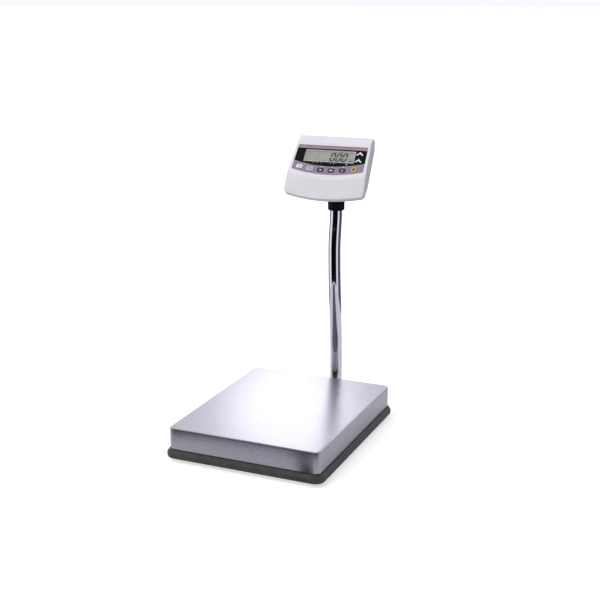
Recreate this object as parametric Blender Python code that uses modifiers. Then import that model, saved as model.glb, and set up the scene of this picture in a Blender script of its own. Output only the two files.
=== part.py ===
# Bench weighing scale for animals: a stainless platform on a single load cell, with an
# indicator head that swivels and tilts on a bowed column behind the platform.
# Metres, +Z up. The origin is on the floor, at the middle of the scale's footprint.
import math

import bmesh
import bpy
from mathutils import Matrix

# Driving dimensions
gap = 0.0003  # clearance kept between neighbouring pieces
pan_width = 0.410
pan_depth = 0.512
pan_top = 0.088
pan_skirt = 0.0545
pan_sheet = 0.0012
pan_corner = 0.016
base_bottom = 0.010
base_wall = 0.003
base_top = 0.027
bumper_proud = 0.009  # how far the bumper stands out past the pan
bumper_height = 0.0225
foot_pad_radius = 0.017
column_radius = 0.017
column_wall = 0.0015
column_setback = 0.116  # pan's rear edge to the column's foot
column_top = 0.5997
column_bow = 0.0205  # how far the column leans forward at its fullest
column_return = 0.0105  # how far its top comes back again
neck_bottom = 0.549
neck_radius = 0.0235
arm_width = 0.080
cable_stop = 0.0035  # each cable ends this far from the tilt pivot or a little nearer
lead_stop = 0.0022
arm_overhang = 0.038  # column's foot to the arm's rear end
arm_corner = 0.036
socket_height = 0.008
socket_flange = 0.028
head_height = 0.686  # floor to the middle of the indicator's face
head_tilt = math.radians(38)  # the face leans back from upright
head_ahead = 0.062  # middle of the face, forward of the tilt pivot
head_drop = 0.041  # middle of the face, above the tilt pivot
head_depth = 0.060
face_top_half = 0.1085
face_foot_half = 0.1175
face_top = 0.0925  # top of the head, above the face's middle
brow_start = 0.068  # above this the face slopes back
brow_slope = math.radians(16)
seam_depth = 0.028  # face to the joint between the two shells
shell_wall = 0.0025
arc_centre = 0.365  # height above the face's middle of the centre that its arcs share
crease_radius = 0.413
chin_radius = 0.465
chin_setback = 0.014
key_radius = 0.384  # the row of keys lies on this arc
key_pitch = 0.032
key_shift = -0.0035
key_count = 6
window = ((-0.0745, 0.0082), (0.0700, 0.0425))  # two corners of the display's clear pane
panel_sunk = 0.0008
foot_x = 0.165  # places given as x and y are from the pan's middle
foot_y = 0.210
stop_x = 0.095
stop_y = 0.123
cushion_x = 0.150
cushion_y = 0.195

# Worked out from the driving dimensions
front_edge = -pan_depth / 2 - bumper_proud
rear_edge = pan_depth / 2 + column_setback + arm_overhang
pan_y = -(front_edge + rear_edge) / 2
column_foot_y = pan_y + pan_depth / 2 + column_setback
column_top_y = column_foot_y - column_bow + column_return
floor_top = base_bottom + base_wall
bumper_bottom = pan_top - pan_skirt - 0.002 - bumper_height
spacer_top = floor_top + gap + 0.008
cell_bottom = spacer_top + gap
cell_top = cell_bottom + 0.028
upper_spacer_top = cell_top + gap + 0.0045
spider_bottom = upper_spacer_top + gap
spider_top = 0.078
cell_length = 0.150
cell_width = 0.040
pad_length = 0.040
arm_bottom = floor_top + gap
arm_top = arm_bottom + 0.014
arm_start_y = pan_y + 0.150
cell_rear_y = pan_y + cell_length / 2
cell_front_y = pan_y - cell_length / 2
lower_bolt_ys = (cell_rear_y - 0.010, cell_rear_y - 0.030)
upper_bolt_ys = (cell_front_y + 0.010, cell_front_y + 0.030)
arm_bolt_ys = (arm_start_y + 0.020, arm_start_y + 0.062)
pivot_y = column_top_y
pivot_z = head_height - head_drop
pivot_v = -(head_height - pivot_z) * math.cos(head_tilt) + head_ahead * math.sin(head_tilt)
pivot_n = -(head_height - pivot_z) * math.sin(head_tilt) - head_ahead * math.cos(head_tilt)
corner_ways = [("front_left", -1, -1), ("front_right", 1, -1), ("rear_left", -1, 1), ("rear_right", 1, 1)]

for old in list(bpy.data.objects):
    bpy.data.objects.remove(old, do_unlink=True)

parts = bpy.data.collections.new("animal_weighing_scale")
cutters = bpy.data.collections.new("cutters")
bpy.context.scene.collection.children.link(parts)
bpy.context.scene.collection.children.link(cutters)

finishes = {
    "stainless": ((0.62, 0.62, 0.64), 1.0, 0.28),
    "chrome": ((0.75, 0.75, 0.77), 1.0, 0.08),
    "charcoal_paint": ((0.045, 0.043, 0.042), 0.0, 0.5),
    "rubber": ((0.05, 0.047, 0.045), 0.0, 0.7),
    "zinc": ((0.55, 0.56, 0.58), 1.0, 0.35),
    "aluminium": ((0.66, 0.67, 0.68), 1.0, 0.4),
    "white_plastic": ((0.80, 0.80, 0.83), 0.0, 0.4),
    "black_plastic": ((0.02, 0.02, 0.022), 0.0, 0.45),
    "overlay": ((0.16, 0.13, 0.16), 0.0, 0.4),
    "clear": ((0.36, 0.39, 0.36), 0.0, 0.1),
    "board_green": ((0.03, 0.16, 0.07), 0.0, 0.5),
    "key_dark": ((0.06, 0.04, 0.06), 0.0, 0.5),
    "key_light": ((0.70, 0.68, 0.72), 0.0, 0.5),
    "key_yellow": ((0.72, 0.50, 0.12), 0.0, 0.5),
    "cable_grey": ((0.06, 0.06, 0.065), 0.0, 0.6),
}


def material(finish, name):
    """A Principled material of this finish, named for the part that wears it."""
    colour, metallic, roughness = finishes[finish]
    made = bpy.data.materials.new(f"{name}_{finish}")
    made.use_nodes = True
    shader = made.node_tree.nodes["Principled BSDF"]
    shader.inputs["Base Color"].default_value = (*colour, 1)
    shader.inputs["Metallic"].default_value = metallic
    shader.inputs["Roughness"].default_value = roughness
    made.diffuse_color = (*colour, 1)
    return made


def place(obj, finish, at=(0, 0, 0), under=None):
    """Puts an object in its collection: a part where it has a finish, and else a cutter."""
    (parts if finish else cutters).objects.link(obj)
    obj.location = at
    obj.parent = under
    if finish:
        obj.data.materials.append(material(finish, obj.name))
    else:
        obj.hide_render = True
        obj.display_type = "WIRE"
    return obj


def from_bmesh(name, bm, finish, at=(0, 0, 0), under=None):
    mesh = bpy.data.meshes.new(name)
    bm.to_mesh(mesh)
    bm.free()
    return place(bpy.data.objects.new(name, mesh), finish, at, under)


def block(name, low, high, finish=None, corner=0.0, rim=0.0, at=(0, 0, 0), under=None, steps=4):
    """A box between two corners; corner rounds its upright edges and rim its top edges."""
    bm = bmesh.new()
    bmesh.ops.create_cube(bm, size=1)
    size = [b - a for a, b in zip(low, high)]
    middle = [(a + b) / 2 for a, b in zip(low, high)]
    bmesh.ops.scale(bm, vec=size, verts=bm.verts)
    bmesh.ops.translate(bm, vec=middle, verts=bm.verts)
    if corner:
        upright = [e for e in bm.edges if abs(e.verts[0].co.z - e.verts[1].co.z) > size[2] / 2]
        bmesh.ops.bevel(bm, geom=upright, offset=corner, segments=steps, profile=0.5, affect="EDGES")
    if rim:
        top = [e for e in bm.edges if all(v.co.z > high[2] - 1e-6 for v in e.verts)]
        bmesh.ops.bevel(bm, geom=top, offset=rim, segments=3, profile=0.5, affect="EDGES")
    return from_bmesh(name, bm, finish, at, under)


def rod(name, radius, low, high, finish=None, axis="Z", at=(0, 0, 0), under=None, sides=24):
    """A cylinder along one axis, between two heights on it."""
    bm = bmesh.new()
    turn = {"X": Matrix.Rotation(math.pi / 2, 4, "Y"), "Y": Matrix.Rotation(-math.pi / 2, 4, "X")}
    bmesh.ops.create_cone(bm, cap_ends=True, segments=sides, radius1=radius, radius2=radius,
                          depth=high - low)
    bmesh.ops.translate(bm, vec=(0, 0, (low + high) / 2), verts=bm.verts)
    bmesh.ops.transform(bm, matrix=turn.get(axis, Matrix.Identity(4)), verts=bm.verts)
    return from_bmesh(name, bm, finish, at, under)


def turned(name, profile, finish=None, at=(0, 0, 0), turn=(0, 0, 0), under=None, sides=20, ring=False):
    """A turned piece: (radius, height) points down the outer side, closed on the axis or as a ring."""
    bm = bmesh.new()
    corners = [bm.verts.new((r, 0, z)) for r, z in profile]
    for a, b in zip(corners, corners[1:] + (corners[:1] if ring else [])):
        bm.edges.new((a, b))
    obj = from_bmesh(name, bm, finish, at, under)
    obj.rotation_euler = turn
    screw = obj.modifiers.new("turn", "SCREW")
    screw.steps = screw.render_steps = sides
    screw.use_merge_vertices = True
    screw.merge_threshold = 0.00001
    return obj


def shape(obj, operation, *tools):
    for tool in tools:
        modifier = obj.modifiers.new(tool.name, "BOOLEAN")
        modifier.operation = operation
        modifier.object = tool
        modifier.solver = "EXACT"
    return obj


def wire(name, route, radius, finish, sides_step=2, under=None):
    """A round cable along points that are already close together."""
    curve = bpy.data.curves.new(name, "CURVE")
    curve.dimensions = "3D"
    curve.bevel_depth = radius
    curve.bevel_resolution = sides_step
    curve.use_fill_caps = True
    spline = curve.splines.new("POLY")
    spline.points.add(len(route) - 1)
    for point, co in zip(spline.points, route):
        point.co = (*co, 1)
    return place(bpy.data.objects.new(name, curve), finish, under=under)


def ease(t):
    t = min(max(t, 0.0), 1.0)
    return t * t * (3 - 2 * t)


def column_y(z):
    """The column's middle at this height: it leans forward, then comes back a little at the top."""
    lean = ease((z - 0.10) / 0.34)
    back = ease((z - 0.44) / 0.105)
    return column_foot_y - column_bow * lean + column_return * back


def smooth_route(points, step):
    """Points a step apart along a Catmull-Rom curve through the given ones."""
    ends = [points[0]] + list(points) + [points[-1]]
    route = [points[0]]
    for p0, p1, p2, p3 in zip(ends, ends[1:], ends[2:], ends[3:]):
        count = max(2, round(math.dist(p1, p2) / step))
        for i in range(1, count + 1):
            t = i / count
            route.append(tuple(
                0.5 * (2 * b + (c - a) * t + (2 * a - 5 * b + 4 * c - d) * t * t
                       + (3 * b - a - 3 * c + d) * t ** 3)
                for a, b, c, d in zip(p0, p1, p2, p3)
            ))
    return route


def base():
    half_x = pan_width / 2 - 0.003
    half_y = pan_depth / 2 - 0.003
    frame = block("base_frame", (-half_x, pan_y - half_y, base_bottom), (half_x, pan_y + half_y, base_top),
                  "charcoal_paint", corner=0.014)
    inner_x = half_x - base_wall
    inner_y = half_y - base_wall
    pocket = block("base_pocket", (-inner_x, pan_y - inner_y, floor_top), (inner_x, pan_y + inner_y, 0.04),
                   corner=0.011)
    way = arm_width / 2 + 0.0015
    arm_way = block("base_arm_way", (-way, pan_y + inner_y - 0.01, floor_top),
                    (way, pan_y + half_y + 0.01, 0.04))
    shape(frame, "DIFFERENCE", pocket, arm_way)
    for side in (-1, 1):
        x = side * 0.060
        rib = block(f"base_rib_{side}", (x - 0.002, pan_y - inner_y - 0.001, floor_top - 0.001),
                    (x + 0.002, pan_y + inner_y + 0.001, floor_top + 0.005))
        shape(frame, "UNION", rib)
    for name, side, way in corner_ways:
        hole = rod(f"base_foot_hole_{name}", 0.0056, 0, 0.02, at=(side * foot_x, pan_y + way * foot_y, 0))
        stop = rod(f"base_stop_hole_{name}", 0.0043, 0, 0.02,
                   at=(side * stop_x, pan_y + way * stop_y, 0), sides=16)
        shape(frame, "DIFFERENCE", hole, stop)
    for i, y in enumerate(lower_bolt_ys):
        sink = turned(f"base_cell_hole_{i}", [(0, 0.0145), (0.0044, 0.0145), (0.0078, base_bottom - 0.0001),
                                              (0.0078, 0.005), (0, 0.005)], at=(0, y, 0), sides=16)
        arm_hole = rod(f"base_arm_hole_{i}", 0.0043, 0, 0.02, at=(0, arm_bolt_ys[i], 0), sides=16)
        shape(frame, "DIFFERENCE", sink, arm_hole)

    out_x = pan_width / 2 + bumper_proud
    out_y = pan_depth / 2 + bumper_proud
    top = bumper_bottom + bumper_height
    bumper = block("base_bumper", (-out_x, pan_y - out_y, bumper_bottom), (out_x, pan_y + out_y, top),
                   "rubber", corner=0.025, rim=0.003, steps=6)
    clear = half_x + gap
    clear_y = half_y + gap
    hollow = block("bumper_hollow", (-clear, pan_y - clear_y, 0), (clear, pan_y + clear_y, 0.05),
                   corner=0.0143)
    way = arm_width / 2 + 0.002
    rear_way = block("bumper_arm_way", (-way, pan_y + clear_y - 0.01, 0), (way, pan_y + out_y + 0.01, 0.05))
    shape(bumper, "DIFFERENCE", hollow, rear_way)


def feet():
    for name, side, way in corner_ways:
        at = (side * foot_x, pan_y + way * foot_y, 0)
        turned(f"leveling_foot_{name}", [
            (0, 0.028), (0.0045, 0.028), (0.005, 0.0275), (0.005, 0.0065),
            (foot_pad_radius - 0.004, 0.0065),
            (foot_pad_radius, 0.0040), (foot_pad_radius, 0), (0, 0),
        ], "black_plastic", at, sides=18)
        nut = rod(f"foot_nut_{name}", 0.0095, floor_top + gap, floor_top + gap + 0.0065, "zinc", at=at,
                  sides=6)
        hole = rod(f"foot_nut_hole_{name}", 0.0054, 0, 0.04, at=at, sides=20)
        shape(nut, "DIFFERENCE", hole)


def load_path():
    """The load cell between its spacers, the bolts that hold it, and the overload stops."""
    half = cell_width / 2
    block("cell_lower_spacer", (-half, cell_rear_y - pad_length, floor_top + gap),
          (half, cell_rear_y, spacer_top), "zinc")
    block("cell_upper_spacer", (-half, cell_front_y, cell_top + gap),
          (half, cell_front_y + pad_length, upper_spacer_top), "zinc")
    cell = block("load_cell", (-half, cell_front_y, cell_bottom), (half, cell_rear_y, cell_top),
                 "aluminium")
    mid_z = (cell_bottom + cell_top) / 2
    for i, y in enumerate((pan_y - 0.018, pan_y + 0.018)):
        bore = rod(f"cell_bore_{i}", 0.0095, -0.03, 0.03, axis="X", at=(0, y, mid_z), sides=24)
        shape(cell, "DIFFERENCE", bore)
    shape(cell, "DIFFERENCE", block("cell_slot", (-0.03, pan_y - 0.018, mid_z - 0.003),
                                    (0.03, pan_y + 0.018, mid_z + 0.003)))
    for i, y in enumerate(lower_bolt_ys):
        bolt = turned(f"cell_lower_bolt_{i + 1}", [
            (0, 0.036), (0.0038, 0.036), (0.0038, 0.0144), (0.0073, base_bottom + 0.0003),
            (0, base_bottom + 0.0003),
        ], "zinc", (0, y, 0), sides=16)
        hole = rod(f"cell_lower_hole_{i}", 0.0042, 0.0, 0.0368, at=(0, y, 0), sides=16)
        shape(bpy.data.objects["cell_lower_spacer"], "DIFFERENCE", hole)
        sink = turned(f"cell_sink_{i}", [(0, 0.0148), (0.0042, 0.0148), (0.0062, 0.0125), (0, 0.0125)],
                      at=(0, y, 0), sides=16)
        shape(bpy.data.objects["cell_lower_spacer"], "DIFFERENCE", sink)
        shape(cell, "DIFFERENCE", hole)
    head = spider_top + gap
    for i, y in enumerate(upper_bolt_ys):
        turned(f"cell_upper_bolt_{i + 1}", [
            (0, head + 0.0045), (0.005, head + 0.0045), (0.007, head + 0.003), (0.007, head),
            (0.0038, head),
            (0.0038, 0.042), (0, 0.042),
        ], "zinc", (0, y, 0), sides=16)
        hole = rod(f"cell_upper_hole_{i}", 0.0042, 0.0412, 0.1, at=(0, y, 0), sides=16)
        shape(bpy.data.objects["cell_upper_spacer"], "DIFFERENCE", hole)
        shape(cell, "DIFFERENCE", hole)
    for name, side, way in corner_ways:
        stop_head = spider_bottom - 0.0013
        turned(f"overload_stop_{name}", [
            (0, stop_head), (0.007, stop_head), (0.007, stop_head - 0.006), (0.004, stop_head - 0.006),
            (0.004, floor_top + 0.0065), (0.008, floor_top + 0.0065), (0.008, floor_top + gap),
            (0.0039, floor_top + gap), (0.0039, base_bottom + gap), (0, base_bottom + gap),
        ], "zinc", (side * stop_x, pan_y + way * stop_y, 0), sides=12)


def spider():
    """A cast cross under the pan, ribbed as upside-down channels, that the load cell carries."""
    def cross(name, width, low, high, reach, finish=None):
        angle = math.atan2(cushion_y, cushion_x)
        half = math.hypot(cushion_x, cushion_y) + reach
        bars = []
        for i, turn in enumerate((angle, -angle)):
            bar = block(f"{name}_bar_{i}" if i or not finish else name, (-half, -width / 2, low),
                        (half, width / 2, high), finish if i == 0 else None, at=(0, pan_y, 0))
            bar.rotation_euler = (0, 0, turn)
            bars.append(bar)
        return shape(bars[0], "UNION", bars[1])

    frame = cross("spider_frame", 0.032, spider_bottom, spider_top, 0.014, "aluminium")
    hub = block("spider_hub", (-0.034, pan_y - 0.084, spider_bottom),
                (0.034, pan_y + 0.084, spider_top), corner=0.010)
    shape(frame, "UNION", hub)
    hollow = cross("spider_hollow", 0.026, 0.03, spider_top - 0.004, 0.0)
    hub_hollow = block("spider_hub_hollow", (-0.030, pan_y - 0.034, 0.03),
                       (0.030, pan_y + 0.080, spider_top - 0.004))
    shape(frame, "DIFFERENCE", hollow, hub_hollow)
    seat = block("spider_seat", (-0.024, cell_front_y - 0.004, spider_bottom),
                 (0.024, cell_front_y + pad_length + 0.004, spider_top - 0.002))
    shape(frame, "UNION", seat)
    for name, side, way in corner_ways:
        boss = rod(f"spider_boss_{name}", 0.0105, spider_bottom, spider_top - 0.002,
                   at=(side * stop_x, pan_y + way * stop_y, 0), sides=16)
        shape(frame, "UNION", boss)
    for i, y in enumerate(upper_bolt_ys):
        shape(frame, "DIFFERENCE", rod(f"spider_bolt_hole_{i}", 0.0042, 0.03, 0.1, at=(0, y, 0), sides=16))
    under_pan = pan_top - pan_sheet - gap
    for name, side, way in corner_ways:
        low = spider_top + gap
        turned(f"pan_cushion_{name}", [(0, under_pan), (0.010, under_pan), (0.012, under_pan - 0.002),
                                       (0.013, low), (0, low)],
               "rubber", (side * cushion_x, pan_y + way * cushion_y, 0), sides=18)


def pan():
    bm = bmesh.new()
    bmesh.ops.create_cube(bm, size=1)
    bmesh.ops.scale(bm, vec=(pan_width, pan_depth, pan_skirt), verts=bm.verts)
    bmesh.ops.translate(bm, vec=(0, 0, pan_top - pan_skirt / 2), verts=bm.verts)
    upright = [e for e in bm.edges if abs(e.verts[0].co.z - e.verts[1].co.z) > pan_skirt / 2]
    bmesh.ops.bevel(bm, geom=upright, offset=pan_corner, segments=5, profile=0.5, affect="EDGES")
    rim = [e for e in bm.edges if all(v.co.z > pan_top - 1e-6 for v in e.verts)]
    bmesh.ops.bevel(bm, geom=rim, offset=0.004, segments=3, profile=0.5, affect="EDGES")
    floor = [f for f in bm.faces if all(v.co.z < pan_top - pan_skirt + 1e-6 for v in f.verts)]
    bmesh.ops.delete(bm, geom=floor, context="FACES")
    tray = from_bmesh("platform_pan", bm, "stainless", at=(0, pan_y, 0))
    sheet = tray.modifiers.new("sheet", "SOLIDIFY")
    sheet.thickness = pan_sheet
    sheet.offset = -1
    sheet.use_even_offset = True


def spirit_level():
    x = -0.120
    y = pan_y - 0.190
    low = floor_top + gap
    turned("level_holder", [(0.013, low + 0.0085), (0.0155, low + 0.0085), (0.0155, low), (0.0105, low),
                            (0.0105, low + 0.0015), (0.013, low + 0.0015)],
           "black_plastic", (x, y, 0), sides=16, ring=True)
    turned("level_vial", [(0, low + 0.010), (0.0115, low + 0.010), (0.0125, low + 0.009),
                          (0.0125, low + 0.002),
                          (0, low + 0.002)], "clear", (x, y, 0), sides=16)


def column():
    half = arm_width / 2
    end_y = column_foot_y + arm_overhang
    arm = block("column_arm", (-half, arm_start_y, arm_bottom), (half, end_y, arm_top), "charcoal_paint",
                corner=arm_corner, rim=0.002)
    inside = block("arm_inside", (-half + 0.003, arm_start_y - 0.02, 0),
                   (half - 0.003, end_y - 0.003, arm_top - 0.003),
                   corner=arm_corner - 0.003)
    seat = rod("arm_column_hole", column_radius + gap, 0, 0.05, at=(0, column_foot_y, 0), sides=32)
    shape(arm, "DIFFERENCE", inside, seat)
    bolt_top = arm_top + gap
    for i, y in enumerate(arm_bolt_ys):
        turned(f"arm_bolt_{i + 1}", [
            (0, bolt_top + 0.005), (0.006, bolt_top + 0.005), (0.0075, bolt_top + 0.003),
            (0.0075, bolt_top),
            (0.0038, bolt_top), (0.0038, base_bottom + gap), (0, base_bottom + gap),
        ], "zinc", (0, y, 0), sides=16)
        shape(arm, "DIFFERENCE", rod(f"arm_bolt_hole_{i}", 0.0043, 0, 0.05, at=(0, y, 0), sides=16))

    low = arm_top + gap
    socket = turned("column_socket", [
        (column_radius + gap, low + socket_height), (0.0225, low + socket_height),
        (0.0235, low + socket_height - 0.001),
        (0.0235, low + 0.003), (socket_flange, low + 0.002), (socket_flange, low),
        (column_radius + gap, low),
    ], "charcoal_paint", (0, column_foot_y, 0), sides=28, ring=True)
    screw_z = low + socket_height / 2 + 0.001
    shape(socket, "DIFFERENCE", rod("socket_screw_hole", 0.0023, 0.010, 0.03, axis="Y",
                                    at=(0, column_foot_y, screw_z), sides=12))
    rod("socket_screw", 0.0020, column_radius + gap, 0.0265, "zinc", axis="Y",
        at=(0, column_foot_y, screw_z), sides=12)

    curve = bpy.data.curves.new("column_tube", "CURVE")
    curve.dimensions = "3D"
    curve.bevel_depth = column_radius
    curve.bevel_resolution = 9
    heights = [0.021, 0.10] + [0.10 + 0.46 * i / 11 for i in range(1, 11)] + [0.545, column_top]
    spline = curve.splines.new("POLY")
    spline.points.add(len(heights) - 1)
    for point, z in zip(spline.points, heights):
        point.co = (0, column_y(z), z, 1)
    tube = place(bpy.data.objects.new("column_tube", curve), "chrome")
    wall = tube.modifiers.new("wall", "SOLIDIFY")
    wall.thickness = column_wall
    wall.offset = -1


def cable_route():
    """From the load cell's end, along the base and the arm, and up inside the column."""
    lie = floor_top + 0.0034
    foot = column_foot_y
    bend = 0.018
    start = [
        (0, cell_rear_y + 0.0008, 0.030), (0, cell_rear_y + 0.012, 0.028), (0, cell_rear_y + 0.030, 0.019),
        (0, cell_rear_y + 0.048, lie), (0, cell_rear_y + 0.080, lie),
        (0.016, arm_start_y + 0.020, lie), (0.016, arm_start_y + 0.062, lie), (0, arm_start_y + 0.110, lie),
        (0, foot - bend - 0.020, lie),
    ]
    route = smooth_route(start, 0.012)
    for i in range(0, 7):
        turn = math.pi / 2 * i / 6
        route.append((0, foot - bend + bend * math.sin(turn), lie + bend - bend * math.cos(turn)))
    first = lie + bend + 0.012
    count = 30
    for i in range(count + 1):
        z = first + (pivot_z - cable_stop - first) * i / count
        route.append((0, column_y(z), z))
    return route


def neck():
    """The black moulding that turns on the column's top and carries the tilt pivot."""
    plate = column_top + gap
    top = plate + 0.006
    at = (0, column_top_y, 0)
    bracket = turned("neck_bracket", [
        (0.0053, top), (neck_radius - 0.002, top), (neck_radius, top - 0.002),
        (neck_radius, neck_bottom + 0.0035),
        (neck_radius - 0.0035, neck_bottom), (column_radius + 0.0006, neck_bottom),
        (column_radius + 0.0006, plate),
        (0.0053, plate),
    ], "black_plastic", at, sides=32, ring=True)
    for side in (-1, 1):
        inner = 0.0198 if side > 0 else -0.0258
        ear = block(f"neck_ear_{side}", (inner + 0.0002, -0.0098, top - 0.003),
                    (inner + 0.0058, 0.0098, pivot_z), at=at)
        knob = rod(f"neck_ear_top_{side}", 0.011, inner, inner + 0.006, axis="X",
                   at=(0, column_top_y, pivot_z), sides=28)
        shape(bracket, "UNION", ear, knob)
    cross = rod("neck_pivot_hole", 0.0034, -0.04, 0.04, axis="X", at=(0, pivot_y, pivot_z), sides=16)
    screw_z = neck_bottom + 0.024
    side_hole = rod("neck_screw_hole", 0.0026, 0.012, 0.03, axis="Y", at=(0, column_top_y, screw_z),
                    sides=14)
    shape(bracket, "DIFFERENCE", cross, side_hole)
    turned("neck_clamp_screw", [
        (0, 0.036), (0.006, 0.036), (0.0075, 0.0345), (0.0075, 0.0265), (0.0055, 0.0255), (0.0023, 0.0250),
        (0.0023, column_radius + 0.0005), (0, column_radius + 0.0005),
    ], "black_plastic", (0, column_top_y, screw_z), turn=(-math.pi / 2, 0, 0), sides=18)
    turned("neck_grommet", [
        (0.0028, top + 0.0015), (0.0068, top + 0.0015), (0.0074, top + 0.0008), (0.0074, top + gap),
        (0.0050, top + gap), (0.0050, plate + gap), (0.0028, plate + gap),
    ], "rubber", at, sides=14, ring=True)


def face_x(v):
    """Half the width of the face at a height above its middle."""
    return face_top_half + (face_foot_half - face_top_half) * (brow_start - v) / 0.140


def arc_points(radius, half_width, count):
    """Points from right to left along an arc about the face's arc centre."""
    reach = math.asin(half_width / radius)
    turns = [reach - 2 * reach * i / (count - 1) for i in range(count)]
    return [(radius * math.sin(t), arc_centre - radius * math.cos(t)) for t in turns]


def prism(name, outline, low, high, finish=None, round_at=(), corner=0.0, taper=1.0, under=None,
          at=(0, 0, 0)):
    """An outline drawn on the face and run back through it; corners below round_at are rounded."""
    bm = bmesh.new()
    face = bm.faces.new([bm.verts.new((u, v, high)) for u, v in outline])
    back = bmesh.ops.extrude_face_region(bm, geom=[face])["geom"]
    moved = [g for g in back if isinstance(g, bmesh.types.BMVert)]
    bmesh.ops.translate(bm, vec=(0, 0, low - high), verts=moved)
    bmesh.ops.scale(bm, vec=(taper, taper, 1), verts=moved)
    if corner:
        runs = [e for e in bm.edges if abs(e.verts[0].co.z - e.verts[1].co.z) > (high - low) / 2
                and min(math.dist(e.verts[0].co.xy, c) for c in round_at) < 0.012]
        bmesh.ops.bevel(bm, geom=runs, offset=corner, segments=4, profile=0.5, affect="EDGES")
    bmesh.ops.recalc_face_normals(bm, faces=bm.faces)
    return from_bmesh(name, bm, finish, at, under)


def head_outline(inset):
    top = face_top - inset
    side = face_x(-0.078) - inset
    return [(-face_x(top) + inset, top), (face_x(top) - inset, top)] + arc_points(chin_radius - inset,
                                                                                  side, 13)


def head_solid(name, inset, low, high, finish=None, taper=1.0, under=None):
    side = face_x(-0.078) - inset
    foot_v = arc_points(chin_radius - inset, side, 2)[0][1]
    return prism(name, head_outline(inset), low, high, finish, ((side, foot_v), (-side, foot_v)),
                 0.013, taper, under)


def chin_cone(name, inset, under):
    """The cone that shapes the chin: it meets the face at the crease and widens backwards."""
    slope = (chin_radius - crease_radius) / chin_setback
    near, far = 0.002, -0.034
    bm = bmesh.new()
    bmesh.ops.create_cone(bm, cap_ends=True, segments=160, radius1=crease_radius - inset - slope * far,
                          radius2=crease_radius - inset - slope * near, depth=near - far)
    bmesh.ops.translate(bm, vec=(0, arc_centre, (near + far) / 2), verts=bm.verts)
    return from_bmesh(name, bm, None, under=under)


def brow_cutter(name, inset, under):
    """The slab that slices the sloping band off the top of the face."""
    bm = bmesh.new()
    bmesh.ops.create_cube(bm, size=1)
    bmesh.ops.scale(bm, vec=(0.3, 0.07, 0.06), verts=bm.verts)
    bmesh.ops.translate(bm, vec=(0, 0.010, 0.03 - inset), verts=bm.verts)
    bmesh.ops.rotate(bm, cent=(0, 0, 0), matrix=Matrix.Rotation(-brow_slope, 3, "X"), verts=bm.verts)
    bmesh.ops.translate(bm, vec=(0, brow_start, 0), verts=bm.verts)
    return from_bmesh(name, bm, None, under=under)


def panel_outline(inset):
    top = 0.058 - inset
    side = 0.105 - inset
    return [(-0.102 + inset, top), (0.102 - inset, top)] + arc_points(0.3975 - inset, side, 13)


def head(face):
    front = head_solid("indicator_front_shell", 0, -seam_depth, 0, "white_plastic", under=face)
    shape(front, "INTERSECT", chin_cone("chin_outside", 0, face))
    shape(front, "DIFFERENCE", brow_cutter("brow_outside", 0, face))
    cavity = head_solid("front_cavity", shell_wall, -0.035, -0.0028, under=face)
    shape(cavity, "INTERSECT", chin_cone("chin_inside", shell_wall, face))
    shape(cavity, "DIFFERENCE", brow_cutter("brow_inside", shell_wall, face))
    recess = prism("panel_recess", panel_outline(-0.0003), -panel_sunk, 0.005, under=face)
    (u0, v0), (u1, v1) = window
    opening = block("window_opening", (u0 + 0.001, v0 + 0.001, -0.01), (u1 - 0.001, v1 - 0.001, 0.01),
                    under=face)
    shape(front, "DIFFERENCE", cavity, recess, opening)

    overlay = prism("face_overlay", panel_outline(0), -panel_sunk + gap, -panel_sunk + gap + 0.0004,
                    "overlay",
                    under=face)
    shape(overlay, "DIFFERENCE", block("overlay_window", (u0 - gap, v0 - gap, -0.01),
                                       (u1 + gap, v1 + gap, 0.01),
                                       under=face))
    block("display_window", (u0, v0, -panel_sunk + gap), (u1, v1, 0.0002), "clear", under=face)
    block("lcd_module", (u0 - 0.008, v0 - 0.007, -0.012), (u1 + 0.008, v1 + 0.007, -0.0032),
          "black_plastic",
          under=face)
    block("main_board", (-0.092, -0.036, -0.0146), (0.092, 0.060, -0.0130), "board_green", under=face)

    for i in range(key_count):
        u = key_shift + key_pitch * (i - (key_count - 1) / 2)
        v = arc_centre - math.sqrt(key_radius ** 2 - u * u)
        at = (u, v, 0)
        if i == key_count - 1:
            name, finish, half_u, half_v, corner = "key_6_round", "key_yellow", 0.0085, 0.0085, 0.0080
        else:
            name, finish, half_u, half_v, corner = f"key_{i + 1}", "key_dark", 0.0095, 0.0062, 0.0040
            if i < 2:
                finish = "key_light"
        key = block(name, (-half_u, -half_v, -0.0045), (half_u, half_v, 0.0008), finish, corner=corner,
                    at=at,
                    under=face, steps=3)
        flange = block(f"key_flange_{i}", (-half_u - 0.0015, -half_v - 0.0015, -0.0048),
                       (half_u + 0.0015, half_v + 0.0015, -0.0033), at=at, under=face)
        stem = rod(f"key_stem_{i}", 0.003, -0.0117, -0.004, at=at, under=face, sides=12)
        shape(key, "UNION", flange, stem)
        hole = block(f"key_hole_{i}", (-half_u - 0.0004, -half_v - 0.0004, -0.01),
                     (half_u + 0.0004, half_v + 0.0004, 0.01), corner=corner, at=at, under=face, steps=3)
        shape(front, "DIFFERENCE", hole)
        shape(overlay, "DIFFERENCE", hole)


def heel_cutter(name, inset, under):
    """The slab that slices the lower back of the rear shell to a slope."""
    bm = bmesh.new()
    bmesh.ops.create_cube(bm, size=1)
    bmesh.ops.scale(bm, vec=(0.3, 0.12, 0.06), verts=bm.verts)
    bmesh.ops.translate(bm, vec=(0, -0.050, -0.03 + inset), verts=bm.verts)
    bmesh.ops.rotate(bm, cent=(0, 0, 0), matrix=Matrix.Rotation(math.radians(-31.0), 3, "X"),
                     verts=bm.verts)
    bmesh.ops.translate(bm, vec=(0, -0.030, -head_depth), verts=bm.verts)
    return from_bmesh(name, bm, None, under=under)


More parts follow.
